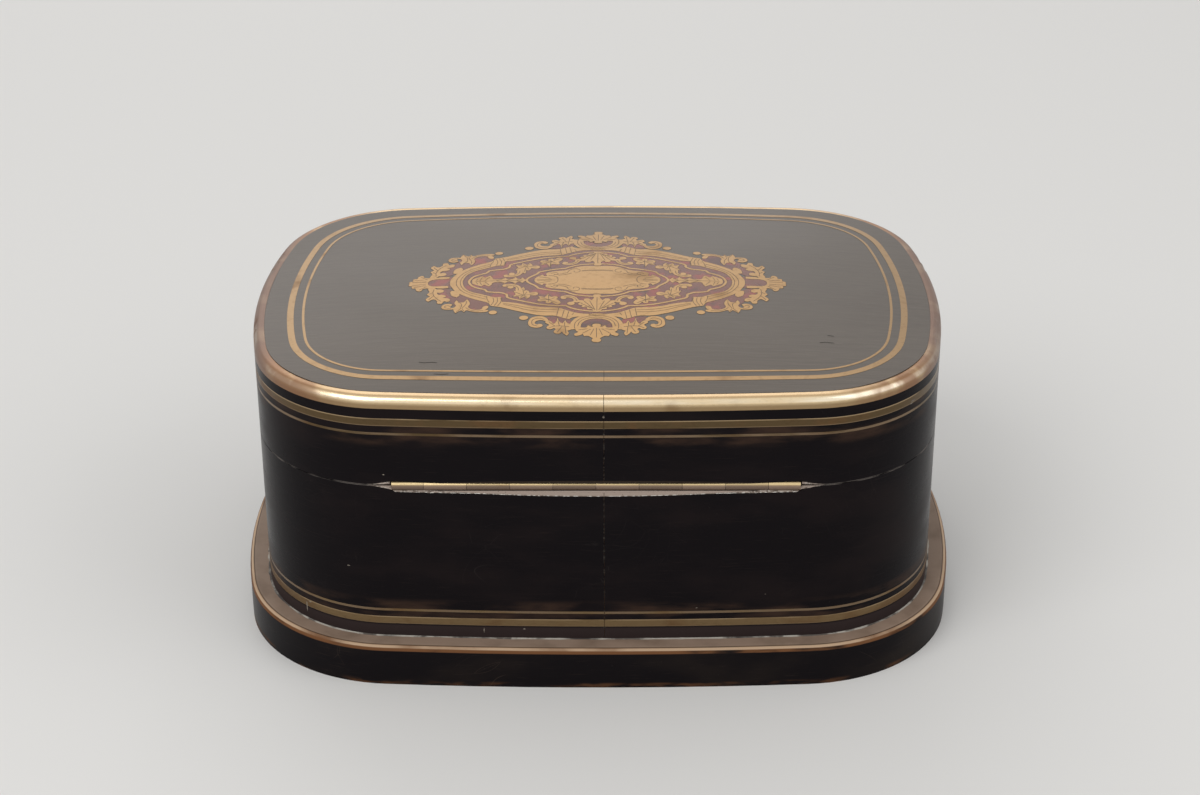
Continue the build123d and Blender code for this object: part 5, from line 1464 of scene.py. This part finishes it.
class CASKET_OT_hinge_dust(bpy.types.Operator):
    """Lay the pale strip in the groove along the hinge: dust, with painted light where it stands in for an
    upward-facing chamfer, and a painted highlight along its lower edge
    """
    bl_idname = "casket.hinge_dust"
    bl_label = "Hinge dust"
    bl_options = {"REGISTER", "UNDO"}

    def execute(self, context):
        colour = context.scene.casket_colours
        # Pale grey strip: dust, with painted light of an upward-facing chamfer.
        grey = new_material(
            "hinge_dust_and_light", tuple(colour.hinge_dust_and_light), 0.85,
            layers=((streaks(420, 420, 420, 0.44, 0.60), (0.14, 0.105, 0.085), 0.85),
                    (part_of(streaks(1500, 1500, 1500, 0.52, 0.62), 0.8), (0.52, 0.47, 0.41), 0.8)),
        )
        # A near-white line along the lower edge of the strip: partly painted highlight, partly dust, mottled
        # darker.
        white = new_material(
            "hinge_edge", (0.78, 0.74, 0.68), 0.7,
            layers=((streaks(700, 700, 700, 0.44, 0.56), (0.24, 0.19, 0.155), 0.8),),
        )
        step = 1.5 * MM
        reach = HINGE_HALF_LENGTH + 10 * MM
        count = int(reach / step)
        places = [turn * step for turn in range(-count, count + 1)]
        below, edge, above = bmesh.new(), bmesh.new(), bmesh.new()
        for first, second in zip(places, places[1:]):
            upper = [(x, SEAM - hinge_cut(x)) for x in (first, second)]
            lower = [(x, SEAM - max(hinge_cut(x), hinge_groove(x))) for x in (first, second)]
            # below: the pale strip under the chamfer, dust with painted light of an upward-facing chamfer
            if lower[0][1] < upper[0][1] or lower[1][1] < upper[1][1]:
                back_patch(below, [*upper, lower[1], lower[0]])
            # edge: the painted highlight along the strip's lower edge
            if max(abs(first), abs(second)) < HINGE_HALF_LENGTH:
                half = [(0.11 + 0.06 * noise.noise(Vector((x * 400, 7, 0)))) * MM for x in (first, second)]
                foot = [(x, z - 2 * h) for (x, z), h in zip(lower, half)]
                back_patch(edge, [*lower, foot[1], foot[0]], 0.05 * MM)
            # above: its pointed ends over the seam past the hinge, dust with the same painted light
            if min(abs(first), abs(second)) > HINGE_HALF_LENGTH:
                foot = [(x, SEAM + hinge_cut(x) + 0.2 * MM) for x in (first, second)]
                tip = [(x, z + 0.7 * hinge_groove(x)) for x, z in foot]
                back_patch(above, [*tip, foot[1], foot[0]])
        finish_piece(below, "hinge_groove_dust_and_light_case", grey, "case")
        finish_piece(edge, "hinge_edge_highlight_and_dust", white, "case")
        finish_piece(above, "hinge_groove_dust_and_light_lid", grey, "lid")
        return {"FINISHED"}


class CASKET_OT_screw_slots(bpy.types.Operator):
    """Lay a thin dark plate across each screw head in place of its slot: painted shade"""
    bl_idname = "casket.screw_slots"
    bl_label = "Screw slots"
    bl_options = {"REGISTER", "UNDO"}

    def execute(self, context):
        slot_depth, slot_width = 0.04 * MM, 0.5 * MM
        # Near-black plates on the screw heads: painted shade of the slots.
        dark = new_material("screw_slot_shade", (0.025, 0.018, 0.012), 0.7,
                            layers=((streaks(600, 600, 600, 0.4, 0.6), (0.06, 0.045, 0.03), 0.8),))
        for node, body, axis, side in (
            ("hinge_screws_case", "case", 2, 1), ("hinge_screws_lid", "lid", 2, -1),
            ("link_screws", "lid", 2, -1), ("lock_screws", "case", 1, 1), ("base_screws", "case", 2, -1),
        ):
            bm = bmesh.new()
            for place, (corner, opposite) in enumerate(solid_boxes(node)):
                middle = (corner + opposite) / 2
                middle[axis] = (opposite if side > 0 else corner)[axis]
                length = 0.8 * (opposite.x - corner.x)
                turn = Matrix.Rotation(0.4 + place * 1.1, 4, "XYZ"[axis])
                shape = [length, length, length]
                shape[axis] = slot_depth
                shape[1 if axis == 2 else 2] = slot_width
                bmesh.ops.create_cube(
                    bm, size=1, matrix=Matrix.Translation(middle) @ turn @ Matrix.Diagonal((*shape, 1))
                )
            finish_piece(bm, f"{node}_slots", dark, body)
        return {"FINISHED"}


class CASKET_OT_stage(bpy.types.Operator):
    """Set the pale floor, the soft light and the camera"""
    bl_idname = "casket.stage"
    bl_label = "Stage"
    bl_options = {"REGISTER", "UNDO"}

    def execute(self, context):
        bm = bmesh.new()
        bmesh.ops.create_grid(bm, x_segments=1, y_segments=1, size=6)
        mesh = bpy.data.meshes.new("floor")
        bm.to_mesh(mesh)
        bm.free()
        floor = bpy.data.objects.new("floor", mesh)
        bpy.context.scene.collection.objects.link(floor)
        pale = bpy.data.materials.new("floor")
        pale.use_nodes = True
        tree = pale.node_tree
        shader = tree.nodes["Principled BSDF"]
        shader.inputs["Base Color"].default_value = (0.80, 0.79, 0.77, 1)
        shader.inputs["Roughness"].default_value = 0.9
        shader.inputs["Specular IOR Level"].default_value = 0.1
        mesh.materials.append(pale)
        world = bpy.context.scene.world or bpy.data.worlds.new("world")
        bpy.context.scene.world = world
        world.use_nodes = True
        tree = world.node_tree
        tree.nodes.clear()
        path = add(tree, "ShaderNodeLightPath")
        seen = number(tree, "MAXIMUM", path.outputs["Is Camera Ray"], path.outputs["Is Glossy Ray"])
        strength = number(tree, "ADD", number(tree, "MULTIPLY", seen, 0.42), 0.55)
        sky = add(tree, "ShaderNodeBackground", {"Color": (1, 1, 1, 1), "Strength": strength})
        out = add(tree, "ShaderNodeOutputWorld")
        tree.links.new(sky.outputs[0], out.inputs[0])
        box_middle = Vector((0, 0, 60 * MM))
        for name, place, power, width in (
            ("key_light", (1.0, 1.2, 1.6), 16, 1.4),
            ("fill_light", (-1.4, 0.6, 1.1), 6, 1.6),
            ("front_light", (0.3, -1.6, 1.3), 6, 1.4),
        ):
            lamp = bpy.data.lights.new(name, "AREA")
            lamp.energy = power
            lamp.size = width
            holder = bpy.data.objects.new(name, lamp)
            holder.location = place
            aim = box_middle - Vector(place)
            holder.rotation_euler = aim.to_track_quat("-Z", "Y").to_euler()
            bpy.context.scene.collection.objects.link(holder)
        lens = bpy.data.cameras.new("camera")
        lens.sensor_width = 36
        lens.lens = 74.06
        lens.clip_start = 0.01
        camera = bpy.data.objects.new("camera", lens)
        pitch, turn, roll = math.radians(26.953), math.radians(-0.537), math.radians(-0.264)
        flat = math.cos(pitch)
        ahead = Vector((-math.sin(turn) * flat, -math.cos(turn) * flat, -math.sin(pitch)))
        level = Vector((-math.cos(turn), math.sin(turn), 0))
        up = level.cross(ahead)
        side = math.cos(roll) * level + math.sin(roll) * up
        top = math.cos(roll) * up - math.sin(roll) * level
        target = Vector((-0.81 * MM, 0, 73.06 * MM))
        distance = 1002.02 * MM
        place = target - ahead * distance
        camera.matrix_world = Matrix.Translation(place) @ Matrix((side, top, -ahead)).transposed().to_4x4()
        bpy.context.scene.collection.objects.link(camera)
        bpy.context.scene.camera = camera
        bpy.context.scene.view_settings.view_transform = "Standard"
        return {"FINISHED"}


OPERATORS = (
    CASKET_OT_wood,
    CASKET_OT_metal,
    CASKET_OT_top,
    CASKET_OT_marquetry,
    CASKET_OT_linings,
    CASKET_OT_tufted_pad,
    CASKET_OT_tray_velvet,
    CASKET_OT_ribbons,
    CASKET_OT_plinth_dust,
    CASKET_OT_scratches,
    CASKET_OT_hinge_dust,
    CASKET_OT_screw_slots,
    CASKET_OT_stage,
)


class CASKET_PT_panel(bpy.types.Panel):
    """The casket's pieces, in the order in which they are made"""
    bl_idname = "CASKET_PT_panel"
    bl_label = "Casket"
    bl_space_type = "VIEW_3D"
    bl_region_type = "UI"
    bl_category = "Casket"

    def draw(self, context):
        for operator in OPERATORS:
            self.layout.operator(operator.bl_idname)


CLASSES = (CasketColours, CasketSizes, *OPERATORS, CASKET_PT_panel)


def register():
    """Adds the settings, the operators and the panel."""
    for item in CLASSES:
        bpy.utils.register_class(item)
    bpy.types.Scene.casket_colours = bpy.props.PointerProperty(type=CasketColours)
    bpy.types.Scene.casket_sizes = bpy.props.PointerProperty(type=CasketSizes)


def unregister():
    """Takes them away again."""
    del bpy.types.Scene.casket_sizes
    del bpy.types.Scene.casket_colours
    for item in reversed(CLASSES):
        bpy.utils.unregister_class(item)


def main():
    """Finishes the whole casket."""
    register()
    build_groups()
    for operator in OPERATORS:
        group, call = operator.bl_idname.split(".")
        getattr(getattr(bpy.ops, group), call)()


if __name__ == "__main__":
    main()
